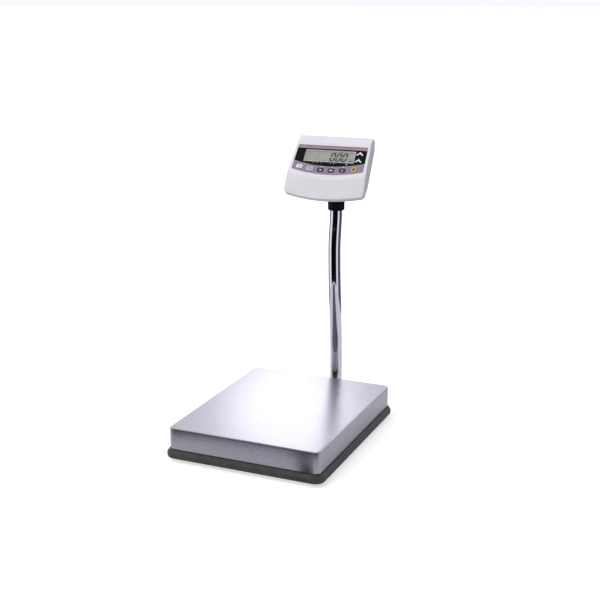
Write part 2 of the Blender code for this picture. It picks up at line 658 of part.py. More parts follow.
def head_rear(face):
    low = -head_depth
    high = -seam_depth - gap
    rear = head_solid("indicator_rear_shell", 0.0012, low, high, "white_plastic", taper=0.93, under=face)
    shape(rear, "DIFFERENCE", heel_cutter("heel_outside", 0, face))
    cavity = head_solid("rear_cavity", 0.0012 + shell_wall, low + shell_wall, 0.0, taper=0.935, under=face)
    shape(cavity, "DIFFERENCE", heel_cutter("heel_inside", shell_wall, face))
    shape(rear, "DIFFERENCE", cavity)
    at = (0, pivot_v, pivot_n)
    barrel = rod("knuckle_barrel", 0.011, -0.0193, 0.0193, axis="X", at=at, under=face, sides=28)
    web = block("knuckle_web", (-0.0193, -0.009, 0), (0.0193, 0.009, -0.0400 - pivot_n), at=at, under=face)
    shape(rear, "UNION", barrel, web)
    way_in = block("knuckle_way_in", (-0.0036, -0.03, -0.03), (0.0036, 0.0036, 0.0036), at=at, under=face)
    way_on = rod("knuckle_way_on", 0.0034, 0.0, 0.038, at=at, under=face, sides=16)
    bores = rod("knuckle_bores", 0.0032, 0.006, 0.03, axis="X", at=at, under=face, sides=16)
    bores_left = rod("knuckle_bores_left", 0.0032, -0.03, -0.006, axis="X", at=at, under=face, sides=16)
    jack_at = (0.070, 0.012, 0)
    jack_hole = block("jack_hole", (-0.0073, -0.0058, low - 0.01), (0.0073, 0.0058, low + 0.01),
                      at=jack_at, under=face)
    shape(rear, "DIFFERENCE", way_in, way_on, bores, bores_left, jack_hole)

    jack = block("power_inlet", (-0.007, -0.0055, low - 0.001), (0.007, 0.0055, low + 0.013),
                 "black_plastic",
                 at=jack_at, under=face)
    socket = turned("jack_socket", [(0.0010, low + 0.010), (0.0030, low + 0.010), (0.0030, low - 0.005),
                                    (0.0010, low - 0.005)], at=jack_at, under=face, sides=16, ring=True)
    shape(jack, "DIFFERENCE", socket)
    block("battery_pack", (-0.088, 0.012, low + 0.004), (-0.023, 0.060, low + 0.036), "black_plastic",
          corner=0.003,
          under=face)
    for name, side in (("left", -1), ("right", 1)):
        turned(f"tilt_screw_{name}", [
            (0, 0.0310), (0.0055, 0.0310), (0.0068, 0.0300), (0.0068, 0.0262), (0.0029, 0.0262),
            (0.0029, 0.0070),
            (0, 0.0070),
        ], "zinc", at, turn=(0, side * math.pi / 2, 0), under=face, sides=16)
    for i, (u, v) in enumerate(((-0.085, 0.070), (0.085, 0.070), (-0.088, -0.050), (0.088, -0.050))):
        depth = low if v > 0 else low + 0.0140
        post = rod(f"screw_post_{i}", 0.0045, depth + 0.001, high - 0.0005, at=(u, v, 0), under=face,
                   sides=14)
        hole = rod(f"screw_hole_{i}", 0.0019, low - 0.02, 0.0, at=(u, v, 0), under=face, sides=12)
        sink = rod(f"screw_sink_{i}", 0.0034, low - 0.02, depth + 0.006, at=(u, v, 0), under=face, sides=12)
        shape(rear, "UNION", post)
        shape(rear, "DIFFERENCE", hole, sink)
        turned(f"shell_screw_{i + 1}", [
            (0, 0.0218), (0.0016, 0.0218), (0.0016, 0), (0.0030, 0), (0.0030, -0.0018), (0.0022, -0.0024),
            (0, -0.0024),
        ], "zinc", (u, v, depth + 0.0057), under=face, sides=12)


def head_lead(face):
    start = (0, pivot_v, pivot_n + lead_stop)
    route = smooth_route([start, (0, pivot_v, pivot_n + 0.0350), (0.004, pivot_v - 0.002, pivot_n + 0.0440),
                          (0.012, pivot_v - 0.006, -0.0240), (0.014, pivot_v - 0.008, -0.0195),
                          (0.014, pivot_v - 0.008, -0.0152)], 0.006)
    wire("head_lead", route, 0.0025, "cable_grey", under=face)


base()
feet()
load_path()
spider()
pan()
spirit_level()
column()
neck()
wire("load_cell_cable", cable_route(), 0.0025, "cable_grey")

pivot = bpy.data.objects.new("tilt_pivot", None)
parts.objects.link(pivot)
pivot.location = (0, pivot_y, pivot_z)
pivot.rotation_euler = (math.pi / 2 - head_tilt, 0, 0)
face_middle = bpy.data.objects.new("face_middle", None)
parts.objects.link(face_middle)
face_middle.parent = pivot
face_middle.location = (0, -pivot_v, -pivot_n)
head(face_middle)
head_rear(face_middle)
head_lead(face_middle)

for obj in parts.objects:
    if obj.type == "MESH":
        obj.data.shade_smooth()
        obj.data.set_sharp_from_angle(angle=math.radians(35))
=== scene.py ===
import math

import bmesh
import bpy
from mathutils import Matrix, Vector


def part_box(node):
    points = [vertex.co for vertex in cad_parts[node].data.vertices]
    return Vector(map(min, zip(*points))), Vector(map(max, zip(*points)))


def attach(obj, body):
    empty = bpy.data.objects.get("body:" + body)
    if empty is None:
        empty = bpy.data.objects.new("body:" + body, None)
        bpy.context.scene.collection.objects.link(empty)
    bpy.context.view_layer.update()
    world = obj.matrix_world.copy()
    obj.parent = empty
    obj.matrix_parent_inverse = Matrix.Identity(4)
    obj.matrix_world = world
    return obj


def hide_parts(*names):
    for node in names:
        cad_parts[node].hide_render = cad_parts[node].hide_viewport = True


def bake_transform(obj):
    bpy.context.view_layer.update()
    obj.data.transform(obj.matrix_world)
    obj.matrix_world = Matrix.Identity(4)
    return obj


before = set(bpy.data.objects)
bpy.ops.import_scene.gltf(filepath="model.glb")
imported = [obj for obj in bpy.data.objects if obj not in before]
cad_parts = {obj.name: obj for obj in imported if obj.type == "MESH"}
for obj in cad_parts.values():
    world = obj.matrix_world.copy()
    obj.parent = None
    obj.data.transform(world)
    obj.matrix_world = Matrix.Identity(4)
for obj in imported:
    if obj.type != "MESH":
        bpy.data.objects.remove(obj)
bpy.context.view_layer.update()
mm = 0.001


# Small tools: colour, nodes, materials

def hexColour(text):  # sRGB hex to the linear numbers that a shader takes
    shares = [int(text[i:i + 2], 16) / 255 for i in (1, 3, 5)]
    return (*[s / 12.92 if s <= 0.04045 else ((s + 0.055) / 1.055) ** 2.4 for s in shares], 1.0)


def perSize(millimetres):  # a noise scale whose features are about this wide
    return 1000.0 / millimetres


def addNode(tree, kind, settings=None):  # property names, socket names or socket numbers, each to a value or a link
    node = tree.nodes.new("ShaderNode" + kind)
    for key, value in (settings or {}).items():
        if isinstance(key, str) and key not in node.inputs:
            setattr(node, key, value)
        elif isinstance(value, bpy.types.NodeSocket):
            tree.links.new(value, node.inputs[key])
        else:
            node.inputs[key].default_value = value
    return node


def startMaterial(name, surface):
    material = bpy.data.materials.new(name)
    material.use_nodes = True
    shader = material.node_tree.nodes["Principled BSDF"]
    for socket, value in surface.items():
        shader.inputs[socket].default_value = value
    return material, material.node_tree, shader


def grainedFinish(name, look):
    # Two close colours in soft patches, gloss that varies, and a fine surface grain.
    material, tree, shader = startMaterial(name, look.get("surface", {}))
    place = addNode(tree, "TexCoord").outputs["Object"]
    patches = addNode(tree, "TexNoise", {"Vector": place, "Scale": perSize(look["patchMm"]), "Detail": 4.0})
    tone = addNode(tree, "MapRange", {"Value": patches.outputs["Fac"], "From Min": 0.35, "From Max": 0.65})
    colour = addNode(tree, "Mix", {"data_type": "RGBA", 0: tone.outputs[0], 6: hexColour(look["colours"][0]),
                                   7: hexColour(look["colours"][1])})
    tree.links.new(colour.outputs[2], shader.inputs["Base Color"])
    grain = addNode(tree, "TexNoise", {"Vector": place, "Scale": perSize(look["grainMm"]), "Detail": 3.0})
    low, high = look["roughness"]
    gloss = addNode(tree, "MapRange", {"Value": grain.outputs["Fac"], "From Min": 0.3, "From Max": 0.7,
                                       "To Min": low, "To Max": high})
    tree.links.new(gloss.outputs[0], shader.inputs["Roughness"])
    bump = addNode(tree, "Bump", {"Height": grain.outputs["Fac"], "Distance": look["grainDepth"] * mm,
                                  "Strength": look.get("grainStrength", 0.5)})
    tree.links.new(bump.outputs["Normal"], shader.inputs["Normal"])
    return material


def brushedStainless(name, look):
    # Satin stainless sheet: fine lines along its length on top, and level lines round the skirt.
    material, tree, shader = startMaterial(name, {"Metallic": 1.0})
    place = addNode(tree, "TexCoord").outputs["Object"]
    facing = addNode(tree, "SeparateXYZ", {0: addNode(tree, "NewGeometry").outputs["Normal"]})
    level = addNode(tree, "Math", {"operation": "ABSOLUTE", 0: facing.outputs["Z"]})
    lines = []
    for stretch in (look["topStretch"], look["skirtStretch"]):
        drawn = addNode(tree, "Mapping", {"Vector": place, "Scale": stretch})
        lines.append(addNode(tree, "TexNoise", {"Vector": drawn.outputs[0], "Scale": perSize(look["lineMm"]),
                                                "Detail": 2.0}).outputs["Fac"])
    grain = addNode(tree, "Mix", {"data_type": "FLOAT", 0: level.outputs[0], 2: lines[1], 3: lines[0]})
    patches = addNode(tree, "TexNoise", {"Vector": place, "Scale": perSize(look["patchMm"]), "Detail": 3.0})
    colour = addNode(tree, "Mix", {"data_type": "RGBA", 0: patches.outputs["Fac"], 6: hexColour(look["colours"][0]),
                                   7: hexColour(look["colours"][1])})
    tree.links.new(colour.outputs[2], shader.inputs["Base Color"])
    low, high = look["roughness"]
    gloss = addNode(tree, "MapRange", {"Value": grain.outputs[0], "From Min": 0.3, "From Max": 0.7,
                                       "To Min": low, "To Max": high})
    tree.links.new(gloss.outputs[0], shader.inputs["Roughness"])
    bump = addNode(tree, "Bump", {"Height": grain.outputs[0], "Distance": look["lineDepth"] * mm, "Strength": 0.25})
    tree.links.new(bump.outputs["Normal"], shader.inputs["Normal"])
    return material


looks = {
    # Rubber edging, extruded: matt warm charcoal with a dusty bloom.
    "bumperRubber": {"colours": ("#4b4645", "#3f3b3a"), "patchMm": 25, "grainMm": 0.9, "roughness": (0.42, 0.6),
                     "grainDepth": 0.05},
    # Rubber foot pads, moulded: near black and matt.
    "footRubber": {"colours": ("#2c2b2b", "#232222"), "patchMm": 9, "grainMm": 0.7, "roughness": (0.6, 0.8),
                   "grainDepth": 0.05},
    # Charcoal powder coat on pressed steel: a fine orange peel.
    "charcoalPowder": {"colours": ("#3c3938", "#343130"), "patchMm": 40, "grainMm": 1.4, "roughness": (0.38, 0.52),
                       "grainDepth": 0.06},
    # Bright zinc plate on steel hardware: a cool grey with cloudy gloss.
    "zincPlate": {"colours": ("#c3c6cb", "#aeb2ba"), "patchMm": 4, "grainMm": 0.5, "roughness": (0.22, 0.4),
                  "grainDepth": 0.01, "surface": {"Metallic": 1.0}},
    # Milled aluminium of the load cell: pale, with a fine cutter grain.
    "milledAluminium": {"colours": ("#d2d3d5", "#c1c3c6"), "patchMm": 12, "grainMm": 0.4, "roughness": (0.28, 0.42),
                        "grainDepth": 0.01, "surface": {"Metallic": 1.0}},
    # Die-cast aluminium of the cross under the pan: dull and slightly mottled.
    "castAluminium": {"colours": ("#b9babd", "#a3a5a9"), "patchMm": 10, "grainMm": 1.2, "roughness": (0.45, 0.65),
                      "grainDepth": 0.06, "surface": {"Metallic": 1.0}},
    # ABS, moulded white: a faint lavender cast and a fine spark texture.
    "whiteAbs": {"colours": ("#ece9ee", "#e7e4ea"), "patchMm": 60, "grainMm": 0.8, "roughness": (0.36, 0.48),
                 "grainDepth": 0.02, "surface": {"IOR": 1.53}},
    # ABS, moulded black with a cool blue cast.
    "blackAbs": {"colours": ("#15151e", "#111117"), "patchMm": 20, "grainMm": 0.8, "roughness": (0.45, 0.6),
                 "grainDepth": 0.02, "surface": {"Specular IOR Level": 0.12}},
    # Polyester overlay film, printed from behind: satin, with each printed colour.
    "filmBlack": {"colours": ("#161517", "#111012"), "patchMm": 30, "grainMm": 0.6, "roughness": (0.3, 0.4),
                  "grainDepth": 0.01,
                  "surface": {"Specular IOR Level": 0.12}},
    "filmMauve": {"colours": ("#a8919b", "#9f8a93"), "patchMm": 30, "grainMm": 0.6, "roughness": (0.3, 0.4),
                  "grainDepth": 0.01,
                  "surface": {"Specular IOR Level": 0.12}},
    "filmLavender": {"colours": ("#9a8fa3", "#90879a"), "patchMm": 30, "grainMm": 0.6, "roughness": (0.3, 0.4),
                     "grainDepth": 0.01,
                     "surface": {"Specular IOR Level": 0.12}},
    "printWhite": {"colours": ("#f2f1f3", "#e6e5e8"), "patchMm": 8, "grainMm": 0.5, "roughness": (0.4, 0.5),
                   "grainDepth": 0.01},
    "printGrey": {"colours": ("#bdbbc0", "#aeacb2"), "patchMm": 8, "grainMm": 0.5, "roughness": (0.4, 0.5),
                  "grainDepth": 0.01},
    "printDark": {"colours": ("#38303a", "#2d2630"), "patchMm": 8, "grainMm": 0.5, "roughness": (0.4, 0.5),
                  "grainDepth": 0.01,
                  "surface": {"Specular IOR Level": 0.12}},
    # Liquid crystal glass over its grey-green reflector: matt front polariser.
    "lcdGreen": {"colours": ("#a6a99f", "#9a9d94"), "patchMm": 16, "grainMm": 0.5, "roughness": (0.35, 0.45),
                 "grainDepth": 0.005},
    "lcdBlack": {"colours": ("#191a1d", "#141518"), "patchMm": 6, "grainMm": 0.5, "roughness": (0.35, 0.45),
                 "grainDepth": 0.005,
                 "surface": {"Specular IOR Level": 0.12}},
    # Silicone keys, moulded: soft satin, in four colours.
    "keyWhite": {"colours": ("#eeedf0", "#e2e0e5"), "patchMm": 6, "grainMm": 0.5, "roughness": (0.4, 0.55),
                 "grainDepth": 0.01},
    "keyLavender": {"colours": ("#d9d5df", "#cbc6d3"), "patchMm": 6, "grainMm": 0.5, "roughness": (0.4, 0.55),
                    "grainDepth": 0.01},
    "keyPlum": {"colours": ("#54414f", "#483743"), "patchMm": 6, "grainMm": 0.5, "roughness": (0.4, 0.55),
                "grainDepth": 0.01,
                "surface": {"Specular IOR Level": 0.12}},
    "keyYellow": {"colours": ("#d8b45c", "#caa44b"), "patchMm": 6, "grainMm": 0.5, "roughness": (0.4, 0.55),
                  "grainDepth": 0.01},
    # Fibreglass board under green solder resist.
    "boardGreen": {"colours": ("#1f5a34", "#174a2a"), "patchMm": 3, "grainMm": 0.6, "roughness": (0.3, 0.45),
                   "grainDepth": 0.02},
    # Heat-shrink film round the battery cells.
    "batteryWrap": {"colours": ("#2b4f8f", "#24457f"), "patchMm": 18, "grainMm": 1.0, "roughness": (0.25, 0.4),
                    "grainDepth": 0.02},
    # Soft PVC cable jacket.
    "cablePvc": {"colours": ("#3d3d41", "#333337"), "patchMm": 8, "grainMm": 0.7, "roughness": (0.45, 0.6),
                 "grainDepth": 0.02},
    # Acrylic level vial with its tinted liquid.
    "vialLiquid": {"colours": ("#b9d46a", "#aac95c"), "patchMm": 9, "grainMm": 1.0, "roughness": (0.05, 0.12),
                   "grainDepth": 0.005, "surface": {"IOR": 1.49, "Transmission Weight": 0.6}},
    # Clear polyester pane over the display.
    "clearPane": {"colours": ("#dfe4dc", "#d6dcd3"), "patchMm": 20, "grainMm": 0.8, "roughness": (0.04, 0.09),
                  "grainDepth": 0.003, "surface": {"IOR": 1.49, "Alpha": 0.06, "Specular IOR Level": 0.2}},
}
finishes = {name: grainedFinish(name, look) for name, look in looks.items()}

# Stainless sheet with a satin finish: soft reflections and a cool lavender cast.
finishes["satinStainless"] = brushedStainless("satinStainless", {
    "colours": ("#b9b7c3", "#b3b1bd"), "patchMm": 90, "lineMm": 0.9, "topStretch": (0.03, 1.0, 1.0),
    "skirtStretch": (0.03, 0.03, 1.0), "roughness": (0.25, 0.31), "lineDepth": 0.004})

# Chrome plate on drawn tube: a mirror with very faint drawing lines.
finishes["chromePlate"] = brushedStainless("chromePlate", {
    "colours": ("#e4e2ea", "#dcdae3"), "patchMm": 60, "lineMm": 1.2, "topStretch": (1.0, 1.0, 0.02),
    "skirtStretch": (1.0, 1.0, 0.02), "roughness": (0.03, 0.06), "lineDepth": 0.002})
print("materials made")


# Small tools: shapes

def loftRings(bm, rings, capStart=True, capEnd=True, closed=False):
    # Draws the first outline, then extrudes it through the others, which have as many points.
    corners = [bm.verts.new(p) for p in rings[0]]
    loop = [bm.edges.new(pair) for pair in zip(corners, corners[1:] + corners[:1])]
    if capStart and not closed:
        bm.faces.new(corners)
    for points in rings[1:] + (rings[:1] if closed else []):
        grown = bmesh.ops.extrude_edge_only(bm, edges=loop)["geom"]
        fresh = {g for g in grown if isinstance(g, bmesh.types.BMVert)}
        corners = [next(e.other_vert(c) for e in c.link_edges if e.other_vert(c) in fresh) for c in corners]
        for corner, point in zip(corners, points):
            corner.co = point
        loop = [g for g in grown if isinstance(g, bmesh.types.BMEdge) and all(v in fresh for v in g.verts)]
    if capEnd and not closed:
        bm.faces.new(corners)
    return bm


def roundedOutline(halfX, halfY, radius, z, centre=(0.0, 0.0), steps=8):
    points = []
    for turn, (signX, signY) in enumerate(((1, 1), (-1, 1), (-1, -1), (1, -1))):
        for i in range(steps + 1):
            angle = math.pi / 2 * (turn + i / steps)
            points.append(Vector((centre[0] + signX * (halfX - radius) + radius * math.cos(angle),
                                  centre[1] + signY * (halfY - radius) + radius * math.sin(angle), z)))
    return points


def spinProfile(bm, profile, sides=48):
    # (radius, height) points turned round the Z axis; one that starts and ends on the axis comes out solid.
    corners = [bm.verts.new((r, 0.0, z)) for r, z in profile]
    closedRing = profile[0][0] > 1e-6 and profile[-1][0] > 1e-6
    runs = [bm.edges.new(pair) for pair in zip(corners, corners[1:] + (corners[:1] if closedRing else []))]
    bmesh.ops.spin(bm, geom=corners + runs, cent=(0, 0, 0), axis=(0, 0, 1), angle=2 * math.pi, steps=sides,
                   use_merge=True)
    bmesh.ops.remove_doubles(bm, verts=bm.verts, dist=1e-6)
    return bm


def blockBetween(bm, low, high):
    made = bmesh.ops.create_cube(bm, size=1.0)["verts"]
    bmesh.ops.scale(bm, vec=[b - a for a, b in zip(low, high)], verts=made)
    bmesh.ops.translate(bm, vec=[(a + b) / 2 for a, b in zip(low, high)], verts=made)
    return made


def rodBetween(bm, radius, start, end, sides=32):
    start, end = Vector(start), Vector(end)
    made = bmesh.ops.create_cone(bm, cap_ends=True, segments=sides, radius1=radius, radius2=radius,
                                 depth=(end - start).length)["verts"]
    turn = (end - start).to_track_quat("Z", "Y").to_matrix().to_4x4()
    bmesh.ops.transform(bm, matrix=Matrix.Translation((start + end) / 2) @ turn, verts=made)
    return made


def startSolid(name, bm, materials=()):
    bmesh.ops.remove_doubles(bm, verts=bm.verts, dist=1e-6)
    bmesh.ops.recalc_face_normals(bm, faces=bm.faces)
    mesh = bpy.data.meshes.new(name)
    bm.to_mesh(mesh)
    bm.free()
    for finish in materials:
        mesh.materials.append(finishes[finish])
    solid = bpy.data.objects.new(name, mesh)
    bpy.context.scene.collection.objects.link(solid)
    return solid


def settle(solid):  # makes the modifiers part of the mesh
    graph = bpy.context.evaluated_depsgraph_get()
    mesh = bpy.data.meshes.new_from_object(solid.evaluated_get(graph), depsgraph=graph)
    solid.modifiers.clear()
    old, solid.data = solid.data, mesh
    bpy.data.meshes.remove(old)
    mesh.name = solid.name
    return solid


def addModifier(solid, kind, **settings):
    modifier = solid.modifiers.new(kind.lower(), kind)
    for key, value in settings.items():
        setattr(modifier, key, value)
    return modifier


def roundEdges(solid, width, segments=3, angle=30):
    addModifier(solid, "BEVEL", width=width, segments=segments, limit_method="ANGLE",
                angle_limit=math.radians(angle), use_clamp_overlap=True, miter_outer="MITER_ARC")
    return settle(solid)


def combine(solid, operation, bm):
    tool = startSolid("tool", bm)
    addModifier(solid, "BOOLEAN", operation=operation, object=tool, solver="EXACT")
    settle(solid)
    toolMesh = tool.data
    bpy.data.objects.remove(tool)
    bpy.data.meshes.remove(toolMesh)
    return solid


def finishPiece(solid, body, nodes=(), place=None, smooth=32):
    if place is not None:
        solid.data.transform(place)
    solid.data.shade_smooth()
    solid.data.set_sharp_from_angle(angle=math.radians(smooth))
    if body is not None:
        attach(solid, body)
    if nodes:
        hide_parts(*nodes)
    return solid


def softened(node, name, body, finish, width, angle=30):
    # A merged copy of a fixed piece with its edges broken.
    bm = bmesh.new()
    bm.from_mesh(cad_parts[node].data)
    bmesh.ops.remove_doubles(bm, verts=bm.verts, dist=1e-6)
    bmesh.ops.dissolve_limit(bm, angle_limit=math.radians(1.0), verts=bm.verts, edges=bm.edges)
    solid = startSolid(name, bm, (finish,))
    roundEdges(solid, width, 2, angle)
    return finishPiece(solid, body, (node,))


cornerNames = ("front_left", "front_right", "rear_left", "rear_right")


# Floor, light and camera

studio = {"floorSize": 350.0, "cameraPlace": (1.0958, -2.5101, 1.1101),
          "cameraTurn": (90 - 15.348, 0.0, 23.321), "lens": 64.79,
          "keyEnergy": 1.8, "keySoftness": 50, "keyFrom": (-0.35, -0.55, 0.76),
          "glowEnergy": 11, "glowSize": (1.2, 2.6), "glowPlace": (-1.75, 3.9, 2.1), "glowAim": (0, -0.1, 0.1)}


def makeStudio():
    scene = bpy.context.scene
    scene.view_settings.view_transform = "Standard"
    bm = bmesh.new()
    bmesh.ops.create_grid(bm, x_segments=8, y_segments=8, size=studio["floorSize"])
    mesh = bpy.data.meshes.new("studioFloor")
    bm.to_mesh(mesh)
    bm.free()
    floor = bpy.data.objects.new("studioFloor", mesh)
    scene.collection.objects.link(floor)
    material, tree, shader = startMaterial("paperFloor", {"Roughness": 0.9, "Specular IOR Level": 0.0})
    place = addNode(tree, "TexCoord").outputs["Object"]
    fibres = addNode(tree, "TexNoise", {"Vector": place, "Scale": 3.0, "Detail": 2.0})
    colour = addNode(tree, "Mix", {"data_type": "RGBA", 0: fibres.outputs["Fac"], 6: hexColour("#c9c9cb"),
                                   7: hexColour("#c4c4c6")})
    tree.links.new(colour.outputs[2], shader.inputs["Base Color"])
    # The paper is lit from below as well, mostly for the camera.
    path = addNode(tree, "LightPath")
    seen = addNode(tree, "Math", {"operation": "MULTIPLY", 0: path.outputs["Is Camera Ray"], 1: 0.62})
    lit = addNode(tree, "Math", {"operation": "MULTIPLY_ADD", 0: path.outputs["Is Glossy Ray"], 1: 0.12,
                                 2: seen.outputs[0]})
    shader.inputs["Emission Color"].default_value = (1.0, 1.0, 1.0, 1.0)
    tree.links.new(lit.outputs[0], shader.inputs["Emission Strength"])
    mesh.materials.append(material)

    world = bpy.data.worlds.new("studioRoom")
    scene.world = world
    world.use_nodes = True
    tree = world.node_tree
    sky = tree.nodes["Background"]
    way = addNode(tree, "SeparateXYZ", {0: addNode(tree, "TexCoord").outputs["Generated"]})
    depth = addNode(tree, "MapRange", {"Value": way.outputs["Y"], "From Min": -0.7, "From Max": 0.6,
                                       "To Min": 0.25, "To Max": 1.0})
    side = addNode(tree, "MapRange", {"Value": way.outputs["X"], "From Min": 0.2, "From Max": 1.0,
                                      "To Min": 1.0, "To Max": 0.35})
    both = addNode(tree, "Math", {"operation": "MULTIPLY", 0: depth.outputs[0], 1: side.outputs[0]})
    sky.inputs["Color"].default_value = hexColour("#fbf9ff")
    # The wall of the room is pale for the camera from every side.
    pale = addNode(tree, "Math", {"operation": "MAXIMUM", 0: both.outputs[0],
                                  1: addNode(tree, "LightPath").outputs["Is Camera Ray"]})
    tree.links.new(pale.outputs[0], sky.inputs["Strength"])

    sun = bpy.data.lights.new("softKey", "SUN")
    sun.energy = studio["keyEnergy"]
    sun.angle = math.radians(studio["keySoftness"])
    key = bpy.data.objects.new("softKey", sun)
    key.rotation_euler = Vector(studio["keyFrom"]).to_track_quat("Z", "Y").to_euler()
    key.visible_glossy = False
    scene.collection.objects.link(key)

    # A tall soft light beyond the object, which lays the white glow on the pan.
    glow = bpy.data.lights.new("panGlow", "AREA")
    glow.shape = "ELLIPSE"
    glow.size, glow.size_y = studio["glowSize"]
    glow.energy = studio["glowEnergy"]
    lamp = bpy.data.objects.new("panGlow", glow)
    lamp.location = studio["glowPlace"]
    lamp.rotation_euler = (Vector(lamp.location) - Vector(studio["glowAim"])).to_track_quat("Z", "Y").to_euler()
    lamp.visible_camera = False
    scene.collection.objects.link(lamp)

    camera = bpy.data.objects.new("viewCamera", bpy.data.cameras.new("viewCamera"))
    camera.location = studio["cameraPlace"]
    camera.rotation_euler = [math.radians(a) for a in studio["cameraTurn"]]
    camera.data.lens = studio["lens"]
    camera.data.sensor_width = 36.0
    camera.data.clip_end = 1000.0
    scene.collection.objects.link(camera)
    scene.camera = camera


# Tall cards round the column and one on the floor, seen in reflections alone: they stripe the bright metal.
cards = {
    # name: (strength of its glow, colour, outline)
    "cardFront": (0.0, "#0c0b0e", ("wall", -43, 55)),
    "cardFrontLeft": (1.0, "#f7f5fb", ("wall", -96, -43)),
    "cardLeft": (0.0, "#141427", ("sector", -160, -96)),
    "cardFrontRight": (0.95, "#f1eff6", ("wall", 55, 90)),
    "cardRight": (0.28, "#8d8a9c", ("sector", 90, 200)),
    "cardCorner": (0.0, "#1a1719", ("strip", 0.150, 0.188)),
}
cardPlace = {"centre": (0.0, 0.2895), "near": 0.86, "radius": 6.0, "high": 1.0, "far": 60.0, "lift": 0.002,
             "way": (-0.39, -0.92), "stripFrom": -0.345, "stripLong": 0.40}


def makeCards():
    place = cardPlace
    for name, (strength, colour, (kind, first, last)) in cards.items():
        bm = bmesh.new()
        if kind == "strip":
            (wayX, wayY), y = place["way"], place["stripFrom"]
            long = place["stripLong"]
            rows = [[(x + wayX * along, y + wayY * along, place["lift"]) for x in (first, last)]
                    for along in (0.0, long)]
        else:
            turns = [math.radians(first + (last - first) * i / 24) for i in range(25)]
            lift = place["lift"]
            ends = [(place["near"], lift), (place["far"], lift)]
            if kind == "wall":
                ends = [(place["near"], lift), (place["radius"], lift), (place["radius"], place["high"])]
            (midX, midY) = place["centre"]
            rows = [[(midX + away * math.sin(t), midY - away * math.cos(t), z) for t in turns] for away, z in ends]
        rows = [[bm.verts.new(p) for p in row] for row in rows]
        for near, far in zip(rows, rows[1:]):
            for i in range(len(near) - 1):
                bm.faces.new((near[i], near[i + 1], far[i + 1], far[i]))
        bmesh.ops.recalc_face_normals(bm, faces=bm.faces)
        mesh = bpy.data.meshes.new(name)
        bm.to_mesh(mesh)
        bm.free()
        card = bpy.data.objects.new(name, mesh)
        bpy.context.scene.collection.objects.link(card)
        material, tree, shader = startMaterial(f"{name}Paper", {"Roughness": 1.0, "Specular IOR Level": 0.0})
        shader.inputs["Base Color"].default_value = (0.0, 0.0, 0.0, 1.0) if not strength else hexColour("#303030")
        shader.inputs["Emission Color"].default_value = hexColour(colour)
        shader.inputs["Emission Strength"].default_value = strength if strength else 1.0
        mesh.materials.append(material)
        card.visible_camera = False
        card.visible_diffuse = False
        card.visible_shadow = False
        card.visible_transmission = False


makeStudio()
makeCards()
print("studio made")


# Platform pan: folded stainless sheet

panLook = {"corner": 16 * mm, "rim": 4 * mm, "sheet": 1.2 * mm, "cornerSteps": 16, "rimSteps": 6}


def makePan():
    low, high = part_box("platform_pan")
    bm = bmesh.new()
    blockBetween(bm, low, high)
    upright = [e for e in bm.edges if abs(e.verts[0].co.z - e.verts[1].co.z) > 0.01]
    bmesh.ops.bevel(bm, geom=upright, offset=panLook["corner"], segments=panLook["cornerSteps"], profile=0.5,
                    affect="EDGES", material=-1)
    rim = [e for e in bm.edges if all(v.co.z > high.z - 1e-6 for v in e.verts)]
    bmesh.ops.bevel(bm, geom=rim, offset=panLook["rim"], segments=panLook["rimSteps"], profile=0.5,
                    affect="EDGES", material=-1)
    under = [f for f in bm.faces if all(v.co.z < low.z + 1e-6 for v in f.verts)]
    bmesh.ops.delete(bm, geom=under, context="FACES")
    pan = startSolid("platformPan", bm, ("satinStainless",))
    addModifier(pan, "SOLIDIFY", thickness=panLook["sheet"], offset=-1.0, use_even_offset=True)
    settle(pan)
    return finishPiece(pan, "pan", ("platform_pan",))


makePan()


# Bumper: a rubber edging with a groove above a rounded nose

bumperLook = {"corner": 25 * mm, "armWay": 42 * mm, "steps": 14,
              # inwards from the outer face, and up from the underside
              "profile": ((8.6, 22.4), (6.2, 22.4), (5.0, 21.5), (3.9, 18.4), (3.3, 17.0), (2.4, 16.7), (1.2, 15.8),
                          (0.4, 13.6), (0.0, 10.8), (0.1, 7.4), (0.6, 4.2), (1.7, 1.8), (3.4, 0.5), (5.6, 0.0),
                          (11.4, 0.0)),
              "innerGap": 11.7}


def makeBumper():
    low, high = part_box("base_bumper")
    centre = ((low.x + high.x) / 2, (low.y + high.y) / 2)
    halfX, halfY = (high.x - low.x) / 2, (high.y - low.y) / 2
    rings = []
    for inwards, up in bumperLook["profile"]:
        inset = inwards * mm
        rings.append(roundedOutline(halfX - inset, halfY - inset, bumperLook["corner"] - inset, low.z + up * mm,
                                    centre, bumperLook["steps"]))
    inner = bumperLook["innerGap"] * mm
    for up in (0.0, 22.4):
        rings.append(roundedOutline(halfX - inner, halfY - inner, bumperLook["corner"] - inner, low.z + up * mm,
                                    centre, bumperLook["steps"]))
    bm = loftRings(bmesh.new(), rings, closed=True)
    rail = startSolid("bumperRail", bm, ("bumperRubber",))
    way = bmesh.new()
    blockBetween(way, (-bumperLook["armWay"], high.y - 0.02, low.z - 0.01),
                 (bumperLook["armWay"], high.y + 0.01, high.z + 0.01))
    combine(rail, "DIFFERENCE", way)
    return finishPiece(rail, "base", ("base_bumper",), smooth=50)


makeBumper()
print("platform made")


# Column: chromed tube in its socket on the rear arm

columnLook = {"radius": 17 * mm, "wall": 1.5 * mm, "footY": 0.2995, "lean": 0.0205, "comeBack": 0.0105,
              "leanFrom": 0.10, "leanOver": 0.34, "backFrom": 0.44, "backOver": 0.105, "steps": 72, "sides": 72}


def ease(t):
    t = min(max(t, 0.0), 1.0)
    return t * t * (3 - 2 * t)


def columnY(z):
    look = columnLook
    return (look["footY"] - look["lean"] * ease((z - look["leanFrom"]) / look["leanOver"])
            + look["comeBack"] * ease((z - look["backFrom"]) / look["backOver"]))


